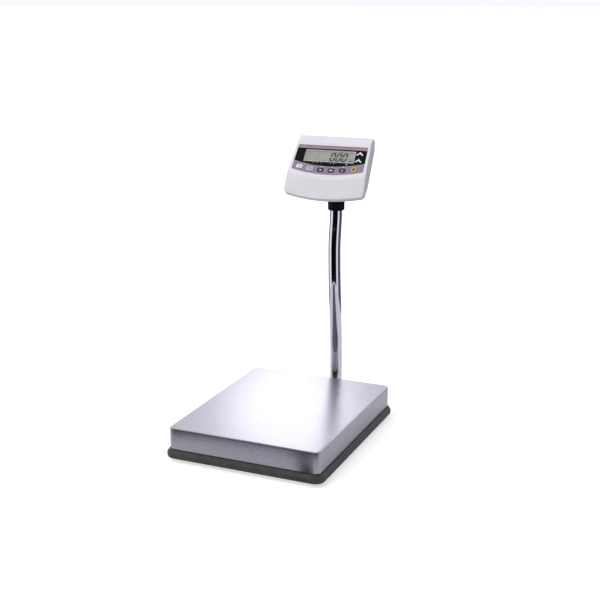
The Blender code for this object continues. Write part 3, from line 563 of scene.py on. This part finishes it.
def makeColumn():
    low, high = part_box("column_tube")
    bm = bmesh.new()
    bmesh.ops.create_circle(bm, segments=columnLook["sides"], radius=columnLook["radius"])
    bmesh.ops.translate(bm, vec=(0, columnY(low.z), low.z), verts=bm.verts)
    edges = list(bm.edges)
    heights = [low.z + (high.z - low.z) * i / columnLook["steps"] for i in range(columnLook["steps"] + 1)]
    lean = 0.0
    for below, z in zip(heights, heights[1:]):
        grown = bmesh.ops.extrude_edge_only(bm, edges=edges)["geom"]
        corners = [g for g in grown if isinstance(g, bmesh.types.BMVert)]
        edges = [g for g in grown if isinstance(g, bmesh.types.BMEdge) and all(v in corners for v in g.verts)]
        bmesh.ops.translate(bm, vec=(0, columnY(z) - columnY(below), z - below), verts=corners)
        slope = math.atan2(columnY(z - 0.001) - columnY(z + 0.001), 0.002) if z < high.z - 1e-6 else 0.0
        bmesh.ops.rotate(bm, cent=(0, columnY(z), z), matrix=Matrix.Rotation(slope - lean, 3, "X"), verts=corners)
        lean = slope
    tube = startSolid("columnTube", bm, ("chromePlate",))
    addModifier(tube, "SOLIDIFY", thickness=columnLook["wall"], offset=-1.0)
    settle(tube)
    return finishPiece(tube, "base", ("column_tube",))


def makeSocket():
    low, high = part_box("column_socket")
    centre = (low + high) / 2
    bore = columnLook["radius"] + 0.3 * mm
    tall = high.z - low.z
    bm = bmesh.new()
    spinProfile(bm, [(bore, tall - 0.0006), (bore + 0.0006, tall), (0.0220, tall), (0.0231, tall - 0.0004),
                     (0.0235, tall - 0.0014), (0.0236, 0.0040), (0.0243, 0.0030), (0.0256, 0.0024), (0.0268, 0.0020),
                     (0.0276, 0.0015), (0.0280, 0.0009), (0.0280, 0.0), (bore, 0.0)], 72)
    socket = startSolid("columnSocket", bm, ("charcoalPowder",))
    hole = bmesh.new()
    rodBetween(hole, 0.0023, (0, 0.010, 0.0050), (0, 0.03, 0.0050), 24)
    combine(socket, "DIFFERENCE", hole)
    return finishPiece(socket, "base", ("column_socket",),
                       Matrix.Translation((centre.x, centre.y, low.z)))


def makeArm():
    low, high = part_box("column_arm")
    bm = bmesh.new()
    blockBetween(bm, low, high)
    upright = [e for e in bm.edges if abs(e.verts[0].co.z - e.verts[1].co.z) > 0.005]
    bmesh.ops.bevel(bm, geom=upright, offset=36 * mm, segments=18, profile=0.5, affect="EDGES", material=-1)
    top = [e for e in bm.edges if all(v.co.z > high.z - 1e-6 for v in e.verts)]
    bmesh.ops.bevel(bm, geom=top, offset=2.5 * mm, segments=5, profile=0.5, affect="EDGES", material=-1)
    arm = startSolid("columnArm", bm, ("charcoalPowder",))
    hollow = bmesh.new()
    blockBetween(hollow, (low.x + 0.003, low.y - 0.02, low.z - 0.01),
                 (high.x - 0.003, high.y - 0.003, high.z - 0.003))
    runs = [e for e in hollow.edges if abs(e.verts[0].co.z - e.verts[1].co.z) > 0.005]
    bmesh.ops.bevel(hollow, geom=runs, offset=33 * mm, segments=18, profile=0.5, affect="EDGES", material=-1)
    combine(arm, "DIFFERENCE", hollow)
    holes = bmesh.new()
    rodBetween(holes, columnLook["radius"] + 0.0003, (0, columnLook["footY"], 0), (0, columnLook["footY"], 0.05), 72)
    for bolt in ("arm_bolt_1", "arm_bolt_2"):
        nearEnd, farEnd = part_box(bolt)
        y = (nearEnd.y + farEnd.y) / 2
        rodBetween(holes, 0.0043, (0, y, 0), (0, y, 0.05), 24)
    combine(arm, "DIFFERENCE", holes)
    return finishPiece(arm, "base", ("column_arm",))


makeColumn()
makeSocket()
makeArm()
print("column made")


# Feet: threaded studs on ribbed rubber pads

footLook = {"padRadius": 17 * mm, "padHeight": 6.5 * mm, "stud": 5 * mm, "top": 28 * mm, "pitch": 1.25 * mm,
            "threadDepth": 0.5 * mm}


def makeFoot(corner):
    low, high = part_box(f"leveling_foot_{corner}")
    pad = footLook["padRadius"]
    profile = [(0.0, 0.0), (pad - 0.0060, 0.0), (pad - 0.0055, 0.0006), (pad - 0.0045, 0.0006), (pad - 0.0040, 0.0),
               (pad - 0.0008, 0.0), (pad, 0.0009), (pad, 0.0034), (pad - 0.0006, 0.0044), (pad - 0.0040, 0.0060),
               (pad - 0.0052, footLook["padHeight"]), (0.0068, footLook["padHeight"]), (0.0068, 0.0067),
               (footLook["stud"] - footLook["threadDepth"], 0.0069)]
    z = 0.0075
    while z < footLook["top"] - 0.0012:
        profile += [(footLook["stud"], z + footLook["pitch"] * 0.35),
                    (footLook["stud"] - footLook["threadDepth"], z + footLook["pitch"] * 0.85)]
        z += footLook["pitch"]
    profile += [(footLook["stud"] - 0.0008, footLook["top"]), (0.0, footLook["top"])]
    bm = bmesh.new()
    spinProfile(bm, profile, 40)
    foot = startSolid(f"levelingFoot_{corner}", bm, ("footRubber", "zincPlate"))
    for face in foot.data.polygons:
        face.material_index = 1 if face.center.z > footLook["padHeight"] + 1e-5 else 0
    centre = (low + high) / 2
    return finishPiece(foot, f"foot_{corner}", (f"leveling_foot_{corner}",),
                       Matrix.Translation((centre.x, centre.y, low.z)))


for corner in cornerNames:
    makeFoot(corner)
print("feet made")


# Neck: turned sleeve with two ears, its clamp knob and tilt screws

neckLook = {"radius": 23.5 * mm, "bottom": 0.549, "plate": 0.600, "top": 0.606, "pivotZ": 0.645, "earRadius": 11 * mm}


def makeNeck():
    y = columnY(neckLook["plate"])
    radius, bottom, top = neckLook["radius"], neckLook["bottom"], neckLook["top"]
    bore = columnLook["radius"] + 0.6 * mm
    bm = bmesh.new()
    spinProfile(bm, [(0.0053, top), (radius - 0.003, top), (radius - 0.0012, top - 0.0004),
                     (radius - 0.0003, top - 0.0014), (radius, top - 0.003), (radius, bottom + 0.0105),
                     (radius - 0.0005, bottom + 0.0100),
                     (radius - 0.0005, bottom + 0.0090), (radius, bottom + 0.0085), (radius, bottom + 0.0040),
                     (radius - 0.0007, bottom + 0.0022), (radius - 0.0022, bottom + 0.0006), (radius - 0.0036, bottom),
                     (bore + 0.0006, bottom), (bore, bottom + 0.0006), (bore, neckLook["plate"]),
                     (0.0053, neckLook["plate"])], 72)
    neck = startSolid("neckBracket", bm, ("blackAbs",))
    ears = bmesh.new()
    pivot = neckLook["pivotZ"]
    for inner in (0.0198, -0.0258):
        earRadius = neckLook["earRadius"]
        outline = [Vector((inner, earRadius * math.cos(a), pivot + earRadius * math.sin(a)))
                   for a in [math.pi * i / 20 for i in range(21)]]
        outline += [Vector((inner, -0.0112, pivot - 0.012)), Vector((inner, -0.0150, top - 0.002)),
                    Vector((inner, 0.0150, top - 0.002)), Vector((inner, 0.0112, pivot - 0.012))]
        far = [p + Vector((0.006, 0, 0)) for p in outline]
        loftRings(ears, [outline, far])
    bmesh.ops.recalc_face_normals(ears, faces=ears.faces)
    edges = [e for e in ears.edges if abs(e.verts[0].co.x - e.verts[1].co.x) < 1e-6 and e.verts[0].co.z > top + 0.001]
    bmesh.ops.bevel(ears, geom=edges, offset=0.7 * mm, segments=3, profile=0.5, affect="EDGES", material=-1)
    combine(neck, "UNION", ears)
    holes = bmesh.new()
    rodBetween(holes, 0.0034, (-0.04, 0, pivot), (0.04, 0, pivot), 28)
    rodBetween(holes, 0.0026, (0, 0.012, bottom + 0.024), (0, 0.03, bottom + 0.024), 20)
    combine(neck, "DIFFERENCE", holes)
    return finishPiece(neck, "neck", ("neck_bracket",), Matrix.Translation((0, y, 0)))


def knurledKnob(name, finish, rings, teeth):
    # rings are (radius, height, groove depth) along Z: the grip's edge goes in and out round the knob.
    bm = bmesh.new()
    outlines = []
    for radius, z, groove in rings:
        points = []
        for i in range(teeth * 4):
            inset = groove if i % 4 in (0, 1) else 0.0
            angle = 2 * math.pi * i / (teeth * 4)
            points.append(Vector(((radius - inset) * math.cos(angle), (radius - inset) * math.sin(angle), z)))
        outlines.append(points)
    loftRings(bm, outlines)
    return startSolid(name, bm, (finish,))


def makeKnobs():
    low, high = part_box("neck_clamp_screw")
    knob = knurledKnob("neckClampKnob", "blackAbs", [
        (0.0023, 0.0175, 0), (0.0023, 0.0250, 0), (0.0055, 0.0253, 0), (0.0066, 0.0262, 0), (0.0073, 0.0270, 0.0004),
        (0.0075, 0.0280, 0.0006), (0.0075, 0.0338, 0.0006), (0.0072, 0.0349, 0.0004), (0.0064, 0.0356, 0),
        (0.0052, 0.0360, 0)], 18)
    middle = Vector((0, columnY(neckLook["plate"]), (low.z + high.z) / 2))
    place = Matrix.Translation(middle) @ Matrix.Rotation(-math.pi / 2, 4, "X")
    finishPiece(knob, "neck", ("neck_clamp_screw",), place, 25)
    for side, sign in (("left", -1), ("right", 1)):
        screw = knurledKnob(f"tiltScrew_{side}", "zincPlate", [
            (0.0029, 0.0070, 0), (0.0029, 0.0262, 0), (0.0062, 0.0262, 0), (0.0067, 0.0266, 0.0002),
            (0.0068, 0.0270, 0.0004), (0.0068, 0.0299, 0.0004), (0.0065, 0.0306, 0.0002), (0.0056, 0.0310, 0)], 20)
        slit = bmesh.new()
        blockBetween(slit, (-0.0008, -0.0075, 0.0299), (0.0008, 0.0075, 0.033))
        combine(screw, "DIFFERENCE", slit)
        low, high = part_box(f"tilt_screw_{side}")
        centre = (low + high) / 2
        turn = Matrix.Translation((0, centre.y, centre.z)) @ Matrix.Rotation(sign * math.pi / 2, 4, "Y")
        finishPiece(screw, "indicator", (f"tilt_screw_{side}",), turn, 25)


makeNeck()
makeKnobs()
print("neck made")


# Indicator head: two white shells round a printed face

tiltBack = math.radians(38)
headMiddle = Vector((0, 0.2275, 0.686))
headPlace = Matrix.Translation(headMiddle) @ Matrix.Rotation(math.pi / 2 - tiltBack, 4, "X")
headLook = {"arcCentre": 0.365, "crease": 0.413, "chin": 0.465, "chinBack": 0.014, "seam": 0.028, "depth": 0.060,
            "wall": 2.5 * mm, "browV": 0.068, "browTop": 0.0925, "browSlope": math.radians(16),
            "sideAt": 0.11287, "sideSlope": 0.0090 / 0.140, "recess": 0.8 * mm}


def arcPoint(radius, angle, n):
    return Vector((radius * math.sin(angle), headLook["arcCentre"] - radius * math.cos(angle), n))


def shellOutline(n, topV, arcRadius, corner, inset=0.0, scale=1.0, arcSteps=40, cornerSteps=10):
    # From the top left corner across the top, down the right side, along the chin arc and back up the left side.
    slope = headLook["sideSlope"]
    reach = headLook["sideAt"] - inset * math.hypot(1, slope)
    middle = headLook["arcCentre"]
    radius = arcRadius - inset
    topV -= inset
    c = reach - corner * math.hypot(1, slope)
    a, b, d = 1 + slope ** 2, -2 * (c * slope + middle), c * c + middle * middle - (radius - corner) ** 2
    v = (-b - math.sqrt(b * b - 4 * a * d)) / (2 * a)
    centre = Vector((c - slope * v, v))
    first, last = math.atan2(slope, 1), math.atan2(v - middle, centre.x)
    right = [Vector((reach - slope * topV, topV))]
    for share in (0.33, 0.66):
        right.append(right[0].lerp(centre + corner * Vector((math.cos(first), math.sin(first))), share))
    for i in range(cornerSteps + 1):
        angle = first + (last - first) * i / cornerSteps
        right.append(centre + corner * Vector((math.cos(angle), math.sin(angle))))
    swing = math.pi / 2 + last
    chin = []
    for i in range(1, arcSteps):
        angle = swing * (1 - 2 * i / arcSteps)
        chin.append(Vector((radius * math.sin(angle), middle - radius * math.cos(angle))))
    left = [Vector((-p.x, p.y)) for p in reversed(right)]
    crown = [left[-1].lerp(right[0], i / 8) for i in range(1, 8)]
    return [Vector((p.x * scale, p.y * scale, n)) for p in right + chin + left + crown]


def panelOutline(grow, n, steps=32):
    top, side, radius = 0.058 + grow, 0.105 + grow, 0.3975 + grow
    reach = math.asin(side / radius)
    lower = [arcPoint(radius, reach * (1 - 2 * i / steps), n) for i in range(steps + 1)]
    return [Vector((-0.102 - grow, top, n)), Vector((0.102 + grow, top, n))] + lower


keyRow = {"count": 6, "pitch": 32 * mm, "shift": -3.5 * mm, "radius": 0.384, "half": (9.5, 6.2), "corner": 4.0,
          "roundHalf": (8.5, 8.5), "roundCorner": 8.0}


def keyPlaces():
    for i in range(keyRow["count"]):
        u = keyRow["shift"] + keyRow["pitch"] * (i - (keyRow["count"] - 1) / 2)
        v = headLook["arcCentre"] - math.sqrt(keyRow["radius"] ** 2 - u * u)
        last = i == keyRow["count"] - 1
        half = keyRow["roundHalf"] if last else keyRow["half"]
        yield i, u, v, half[0] * mm, half[1] * mm, (keyRow["roundCorner"] if last else keyRow["corner"]) * mm


def keyCutter(bm, grow, low, high):
    for i, u, v, halfU, halfV, corner in keyPlaces():
        loftRings(bm, [roundedOutline(halfU + grow, halfV + grow, corner + grow, z, (u, v), 6) for z in (low, high)])


windowLook = {"low": (-0.0745, 0.0082), "high": (0.0700, 0.0425)}


def makeFrontShell():
    look = headLook
    rings = []
    for n in (0.0, -0.0035, -0.00703, -0.0105, -0.014, -0.028):
        top = min(look["browV"] - n / math.tan(look["browSlope"]), look["browTop"])
        share = min(1.0, -n / look["chinBack"])
        rings.append(shellOutline(n, top, look["crease"] + (look["chin"] - look["crease"]) * share,
                                  (1.5 + 11.5 * share) * mm))
    bm = loftRings(bmesh.new(), rings, capEnd=False)
    shell = startSolid("frontShell", bm, ("whiteAbs",))
    roundEdges(shell, 1.3 * mm, 6, 12)
    addModifier(shell, "SOLIDIFY", thickness=look["wall"], offset=-1.0, use_even_offset=True)
    settle(shell)
    cut = loftRings(bmesh.new(), [panelOutline(0.3 * mm, -look["recess"]), panelOutline(0.3 * mm, 0.005)])
    combine(shell, "DIFFERENCE", cut)
    cut = bmesh.new()
    (u0, v0), (u1, v1) = windowLook["low"], windowLook["high"]
    blockBetween(cut, (u0 + 0.001, v0 + 0.001, -0.01), (u1 - 0.001, v1 - 0.001, 0.01))
    keyCutter(cut, 0.4 * mm, -0.01, 0.01)
    combine(shell, "DIFFERENCE", cut)
    return finishPiece(shell, "indicator", ("indicator_front_shell",), headPlace, 14)


def makeRearShell():
    look = headLook
    near, far = -look["seam"] - 0.3 * mm, -look["depth"]
    rings = [shellOutline(near + (far - near) * t, look["browTop"], look["chin"], 13 * mm, 1.2 * mm, 1 - 0.07 * t)
             for t in (0.0, 0.5, 1.0)]
    bm = loftRings(bmesh.new(), rings)
    heel = math.radians(31)
    cutAway = bmesh.ops.bisect_plane(bm, geom=bm.verts[:] + bm.edges[:] + bm.faces[:], dist=1e-7,
                                     plane_co=(0, -0.030, far), plane_no=(0, -math.sin(heel), -math.cos(heel)),
                                     clear_outer=True)["geom_cut"]
    bmesh.ops.edgeloop_fill(bm, edges=[g for g in cutAway if isinstance(g, bmesh.types.BMEdge)])
    shell = startSolid("rearShell", bm, ("whiteAbs",))
    opened = bmesh.new()
    opened.from_mesh(shell.data)
    mouth = [f for f in opened.faces if all(v.co.z > near - 1e-5 for v in f.verts)]
    bmesh.ops.delete(opened, geom=mouth, context="FACES")
    opened.to_mesh(shell.data)
    opened.free()
    roundEdges(shell, 2.2 * mm, 4, 28)
    addModifier(shell, "SOLIDIFY", thickness=look["wall"], offset=-1.0, use_even_offset=True)
    settle(shell)
    low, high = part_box("tilt_screw_left")
    pivot = headPlace.inverted() @ ((low + high) / 2)
    v, n = pivot.y, pivot.z
    solid = bmesh.new()
    rodBetween(solid, 0.011, (-0.0193, v, n), (0.0193, v, n), 48)
    web = bmesh.new()
    blockBetween(web, (-0.0193, v - 0.009, n), (0.0193, v + 0.009, -0.0400))
    combine(shell, "UNION", solid)
    combine(shell, "UNION", web)
    posts = bmesh.new()
    sinks = bmesh.new()
    for u, w in ((-0.085, 0.070), (0.085, 0.070), (-0.088, -0.050), (0.088, -0.050)):
        depth = far if w > 0 else far + 0.0140
        rodBetween(posts, 0.0045, (u, w, depth + 0.001), (u, w, near - 0.0005), 24)
        rodBetween(sinks, 0.0034, (u, w, far - 0.02), (u, w, depth + 0.006), 24)
    combine(shell, "UNION", posts)
    combine(shell, "DIFFERENCE", sinks)
    holes = bmesh.new()
    for u, w in ((-0.085, 0.070), (0.085, 0.070), (-0.088, -0.050), (0.088, -0.050)):
        rodBetween(holes, 0.0019, (u, w, far - 0.02), (u, w, 0.0), 16)
    blockBetween(holes, (0.0627, 0.0062, far - 0.01), (0.0773, 0.0178, far + 0.01))
    combine(shell, "DIFFERENCE", holes)
    way = bmesh.new()
    blockBetween(way, (-0.0036, v - 0.03, n - 0.03), (0.0036, v + 0.0036, n + 0.0036))
    combine(shell, "DIFFERENCE", way)
    way = bmesh.new()
    rodBetween(way, 0.0034, (0, v, n), (0, v, n + 0.038), 24)
    combine(shell, "DIFFERENCE", way)
    for start, end in ((0.006, 0.03), (-0.03, -0.006)):
        bore = bmesh.new()
        rodBetween(bore, 0.0032, (start, v, n), (end, v, n), 24)
        combine(shell, "DIFFERENCE", bore)
    return finishPiece(shell, "indicator", ("indicator_rear_shell",), headPlace, 30)


makeFrontShell()
makeRearShell()
print("shells made")


# Printed face: film, marks, pane and display

filmLook = {"rows": ((0.3975, "arc"), (0.3715, "arc"), (0.0480, "line"), (0.0568, "line"), (0.0580, "line")),
            "finishes": ("filmLavender", "filmBlack", "filmMauve", "filmBlack"), "columns": 48, "top": -0.1 * mm,
            "thickness": 0.4 * mm}


def makeOverlay():
    rows = filmLook["rows"]
    bm = bmesh.new()
    bmesh.ops.create_grid(bm, x_segments=filmLook["columns"], y_segments=len(rows) - 1, size=1.0)
    for vert in bm.verts:
        share = vert.co.x
        value, kind = rows[round((vert.co.y + 1) / 2 * (len(rows) - 1))]
        if kind == "line":
            half = 0.105 - 0.0030 * (value + 0.0184) / 0.0764
            vert.co = Vector((share * half, value, filmLook["top"]))
        else:
            half = 0.105 if value > 0.39 else 0.1041
            vert.co = arcPoint(value, share * math.asin(half / value), filmLook["top"])
    for face in bm.faces:
        middle = face.calc_center_median()
        gapBelow = math.hypot(middle.x, headLook["arcCentre"] - middle.y)
        face.material_index = 0 if gapBelow > rows[1][0] else 1 if middle.y < 0.048 else 2 if middle.y < 0.0568 else 3
    film = startSolid("faceOverlay", bm, filmLook["finishes"])
    if film.data.polygons[0].normal.z < 0:
        film.data.flip_normals()
    addModifier(film, "SOLIDIFY", thickness=filmLook["thickness"], offset=-1.0)
    settle(film)
    cut = bmesh.new()
    (u0, v0), (u1, v1) = windowLook["low"], windowLook["high"]
    blockBetween(cut, (u0 - 0.0003, v0 - 0.0003, -0.01), (u1 + 0.0003, v1 + 0.0003, 0.01))
    keyCutter(cut, 0.4 * mm, -0.01, 0.01)
    combine(film, "DIFFERENCE", cut)
    return finishPiece(film, "indicator", ("face_overlay",), headPlace)


def flatShape(bm, outline, low, high, material=0):
    before = set(bm.faces)
    loftRings(bm, [[Vector((u, v, z)) for u, v in outline] for z in (low, high)])
    for face in set(bm.faces) - before:
        face.material_index = material


def bar(bm, u, v, width, height, low, high, material=0, turn=0.0):
    corners = ((-width / 2, -height / 2), (width / 2, -height / 2), (width / 2, height / 2), (-width / 2, height / 2))
    c, s = math.cos(turn), math.sin(turn)
    flatShape(bm, [(u + x * c - y * s, v + x * s + y * c) for x, y in corners], low, high, material)


def oval(bm, u, v, halfU, halfV, low, high, material=0, turn=0.0, sides=24):
    c, s = math.cos(turn), math.sin(turn)
    points = [(halfU * math.cos(2 * math.pi * i / sides), halfV * math.sin(2 * math.pi * i / sides))
              for i in range(sides)]
    flatShape(bm, [(u + x * c - y * s, v + x * s + y * c) for x, y in points], low, high, material)


printLook = {"low": -0.1 * mm, "high": -0.05 * mm}


def makePrint():
    low, high = printLook["low"], printLook["high"]
    bm = bmesh.new()
    for tip in (0.0440, 0.0225):  # two upward chevrons beside the display
        span, arm, drop = 0.0108, 0.0042, 0.0105
        u = 0.0835
        flatShape(bm, [(u, tip), (u - span, tip - drop), (u - span + arm, tip - drop - 0.0008), (u, tip - arm * 1.5),
                       (u + span - arm, tip - drop - 0.0008), (u + span, tip - drop)], low, high, 0)
    oval(bm, 0.052, 0.0028, 0.0019, 0.0019, low, high, 0)
    for u in (-0.046, -0.034, -0.022):
        bar(bm, u, 0.0036, 0.0042, 0.0014, low, high, 1)
    for u in (0.006, 0.015):
        oval(bm, u, 0.0030, 0.0013, 0.0013, low, high, 1)
    for i, u, v, halfU, halfV, corner in keyPlaces():
        if 2 <= i <= 4:
            bar(bm, u + 0.001, v + halfV + 0.0044, 0.0044, 0.0018, low, high, 0)
    (u0, v0), (u1, v1) = windowLook["low"], windowLook["high"]
    edge = 0.0009
    midU, midV, off = (u0 + u1) / 2, (v0 + v1) / 2, 0.0012
    for cu, cv, w, h in ((midU, v1 + off, u1 - u0 + 0.0042, edge), (midU, v0 - off, u1 - u0 + 0.0042, edge),
                         (u0 - off, midV, edge, v1 - v0 + 0.0015), (u1 + off, midV, edge, v1 - v0 + 0.0015)):
        bar(bm, cu, cv, w, h, low, high, 2)
    marks = startSolid("overlayPrint", bm, ("printWhite", "printGrey", "printGrey"))
    return finishPiece(marks, "indicator", (), headPlace)


displayLook = {"digitHeight": 23.5 * mm, "digitWidth": 10.6 * mm, "stroke": 4.8 * mm, "slant": 0.17,
               "pitch": 17.4 * mm, "firstU": -1.2 * mm, "baseV": 12.8 * mm, "face": -3.2 * mm}


def digitStroke(bm, start, end, u, v, low, high):
    # One lit segment: a bar with pointed ends, leaned like the whole digit.
    start, end = Vector(start), Vector(end)
    along = (end - start).normalized()
    across = Vector((-along.y, along.x))
    half = displayLook["stroke"] / 2
    start, end = start + along * 0.00025, end - along * 0.00025
    corners = [start, start + along * half + across * half, end - along * half + across * half, end,
               end - along * half - across * half, start + along * half - across * half]
    flatShape(bm, [(u + p.x + displayLook["slant"] * p.y, v + p.y) for p in corners], low, high)


def makeDisplay():
    (u0, v0), (u1, v1) = windowLook["low"], windowLook["high"]
    bm = bmesh.new()
    outline = [roundedOutline((u1 - u0) / 2, (v1 - v0) / 2, 0.8 * mm, z, ((u0 + u1) / 2, (v0 + v1) / 2), 4)
               for z in (-0.5 * mm, 0.0)]
    outline.append(roundedOutline((u1 - u0) / 2 - 0.2 * mm, (v1 - v0) / 2 - 0.2 * mm, 0.6 * mm, 0.2 * mm,
                                  ((u0 + u1) / 2, (v0 + v1) / 2), 4))
    loftRings(bm, outline)
    pane = startSolid("displayPane", bm, ("clearPane",))
    finishPiece(pane, "indicator", ("display_window",), headPlace)

    bm = bmesh.new()
    blockBetween(bm, (u0 - 0.008, v0 - 0.007, -0.012), (u1 + 0.008, v1 + 0.007, -0.0042))
    body = [f for f in bm.faces]
    glass = bmesh.new()
    panel = startSolid("lcdPanel", bm, ("blackAbs", "lcdGreen"))
    blockBetween(glass, (u0 - 0.003, v0 - 0.003, -0.0045), (u1 + 0.003, v1 + 0.003, displayLook["face"]))
    roundEdges(panel, 0.5 * mm, 2)
    combine(panel, "UNION", glass)
    for face in panel.data.polygons:
        face.material_index = 1 if face.center.z > -0.0041 else 0
    finishPiece(panel, "indicator", ("lcd_module",), headPlace)

    bm = bmesh.new()
    ink = (displayLook["face"] - 0.00002, displayLook["face"] + 0.00008)
    wide, tall = displayLook["digitWidth"], displayLook["digitHeight"]
    for place in range(3):  # the display reads 0.00
        u = displayLook["firstU"] + place * displayLook["pitch"]
        v = displayLook["baseV"]
        edges = [((0, 0), (wide, 0)), ((wide, 0), (wide, tall / 2)), ((wide, tall / 2), (wide, tall)),
                 ((0, tall), (wide, tall)), ((0, tall / 2), (0, tall)), ((0, 0), (0, tall / 2))]
        for start, end in edges:
            digitStroke(bm, start, end, u, v, *ink)
    oval(bm, displayLook["firstU"] + wide + 0.0030, displayLook["baseV"] + 0.0004, 0.0013, 0.0013, *ink)
    for i in range(2):
        bar(bm, 0.0585 + 0.0035 * i, displayLook["baseV"] + 0.003, 0.0022, 0.0050 - 0.0014 * i, *ink)
    digits = startSolid("lcdSegments", bm, ("lcdBlack",))
    finishPiece(digits, "indicator", (), headPlace)


makeOverlay()
makePrint()
makeDisplay()
print("face made")


# Keys: silicone caps with a shallow dish and a printed mark

keyFinishes = ("keyWhite", "keyLavender", "keyPlum", "keyPlum", "keyPlum", "keyYellow")


def keyMark(bm, index, u, v, low, high):
    if index == 0:
        bar(bm, u + 0.001, v, 0.0062, 0.0013, low, high, 1, 0.6)
        bar(bm, u + 0.0035, v - 0.0012, 0.0036, 0.0012, low, high, 1)
    elif index == 1:
        bar(bm, u, v + 0.0008, 0.0030, 0.0050, low, high, 1)
        bar(bm, u - 0.0042, v + 0.0006, 0.0026, 0.0014, low, high, 1)
        oval(bm, u + 0.0048, v - 0.0010, 0.0014, 0.0014, low, high, 1)
    elif index == 2:
        bar(bm, u - 0.0016, v, 0.0012, 0.0050, low, high, 0)
        bar(bm, u + 0.0016, v - 0.0006, 0.0034, 0.0034, low, high, 0)
    elif index == 3:
        bar(bm, u - 0.0020, v - 0.0002, 0.0050, 0.0034, low, high, 0, 0.5)
        oval(bm, u + 0.0032, v - 0.0004, 0.0018, 0.0018, low, high, 0)
    elif index == 4:
        bar(bm, u - 0.0020, v, 0.0012, 0.0046, low, high, 0)
        bar(bm, u + 0.0012, v - 0.0014, 0.0046, 0.0014, low, high, 0)
    else:
        oval(bm, u, v, 0.0027, 0.0046, low, high, 1, -0.6)


def makeKeys():
    for i, u, v, halfU, halfV, corner in keyPlaces():
        name = f"key_{i + 1}" if i < keyRow["count"] - 1 else "key_6_round"
        flange, stem = 1.5 * mm, 3.0 * mm

        def ring(grow, z, radius=None):
            bend = corner + grow if radius is None else radius
            return roundedOutline(halfU + grow, halfV + grow, bend, z, (u, v), 6)

        rings = [roundedOutline(stem, stem, stem - 1e-5, z, (u, v), 6) for z in (-0.0117, -0.0048)]
        rings += [ring(flange, -0.0048), ring(flange, -0.0033), ring(0, -0.0033), ring(0, 0.0001),
                  ring(-0.00012, 0.0004), ring(-0.0004, 0.00066), ring(-0.0008, 0.0008), ring(-0.0014, 0.0008),
                  ring(-0.0026, 0.00066), ring(-0.0039, 0.0006)]
        bm = loftRings(bmesh.new(), rings)
        cap = startSolid(f"keyCap{i + 1}", bm, (keyFinishes[i],))
        finishPiece(cap, f"{name}_cap", (name,), headPlace, 40)
        bm = bmesh.new()
        keyMark(bm, i, u, v, 0.00055, 0.00074)
        mark = startSolid(f"keyMark{i + 1}", bm, ("printWhite", "printDark"))
        finishPiece(mark, f"{name}_cap", (), headPlace)


makeKeys()
print("keys made")


# Fixed pieces with their edges broken

softPieces = (
    ("base_frame", "baseFrame", "base", "charcoal_paint", "charcoalPowder", 0.5),
    ("spider_frame", "spiderFrame", "weighing_frame", "spider_aluminium", "castAluminium", 0.6),
    ("load_cell", "loadCell", None, "cell_aluminium", "milledAluminium", 0.4),
    ("cell_lower_spacer", "cellLowerSpacer", "base", "zinc_hardware", "zincPlate", 0.3),
    ("cell_upper_spacer", "cellUpperSpacer", "weighing_frame", "zinc_hardware", "zincPlate", 0.3),
    ("battery_pack", "batteryPack", "indicator", "battery_wrap", "batteryWrap", 0.8),
    ("power_inlet", "powerInlet", "indicator", "black_abs", "blackAbs", 0.3),
    ("level_holder", "levelHolder", "base", "black_abs", "blackAbs", 0.3),
)
for node, name, body, slotName, finish, width in softPieces:
    piece = softened(node, name, body, finish, width * mm)
    if body is None:
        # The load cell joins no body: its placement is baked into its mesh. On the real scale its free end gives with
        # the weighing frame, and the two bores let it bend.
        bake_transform(piece)

nodeFinishes = {
    "zincPlate": ["cell_lower_bolt_1", "cell_lower_bolt_2", "cell_upper_bolt_1", "cell_upper_bolt_2", "arm_bolt_1",
                  "arm_bolt_2", "socket_screw"] + [f"shell_screw_{i}" for i in range(1, 5)]
                 + [f"overload_stop_{c}" for c in cornerNames] + [f"foot_nut_{c}" for c in cornerNames],
    "footRubber": [f"pan_cushion_{c}" for c in cornerNames] + ["neck_grommet"],
    "cablePvc": ["load_cell_cable", "head_lead"],
    "boardGreen": ["main_board"],
    "vialLiquid": ["level_vial"],
}
for finish, names in nodeFinishes.items():
    for name in names:
        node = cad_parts[name]
        if not node.data.materials:
            node.data.materials.append(finishes[finish])
        for materialSlot in node.material_slots:
            materialSlot.material = finishes[finish]
print("fixed pieces dressed")
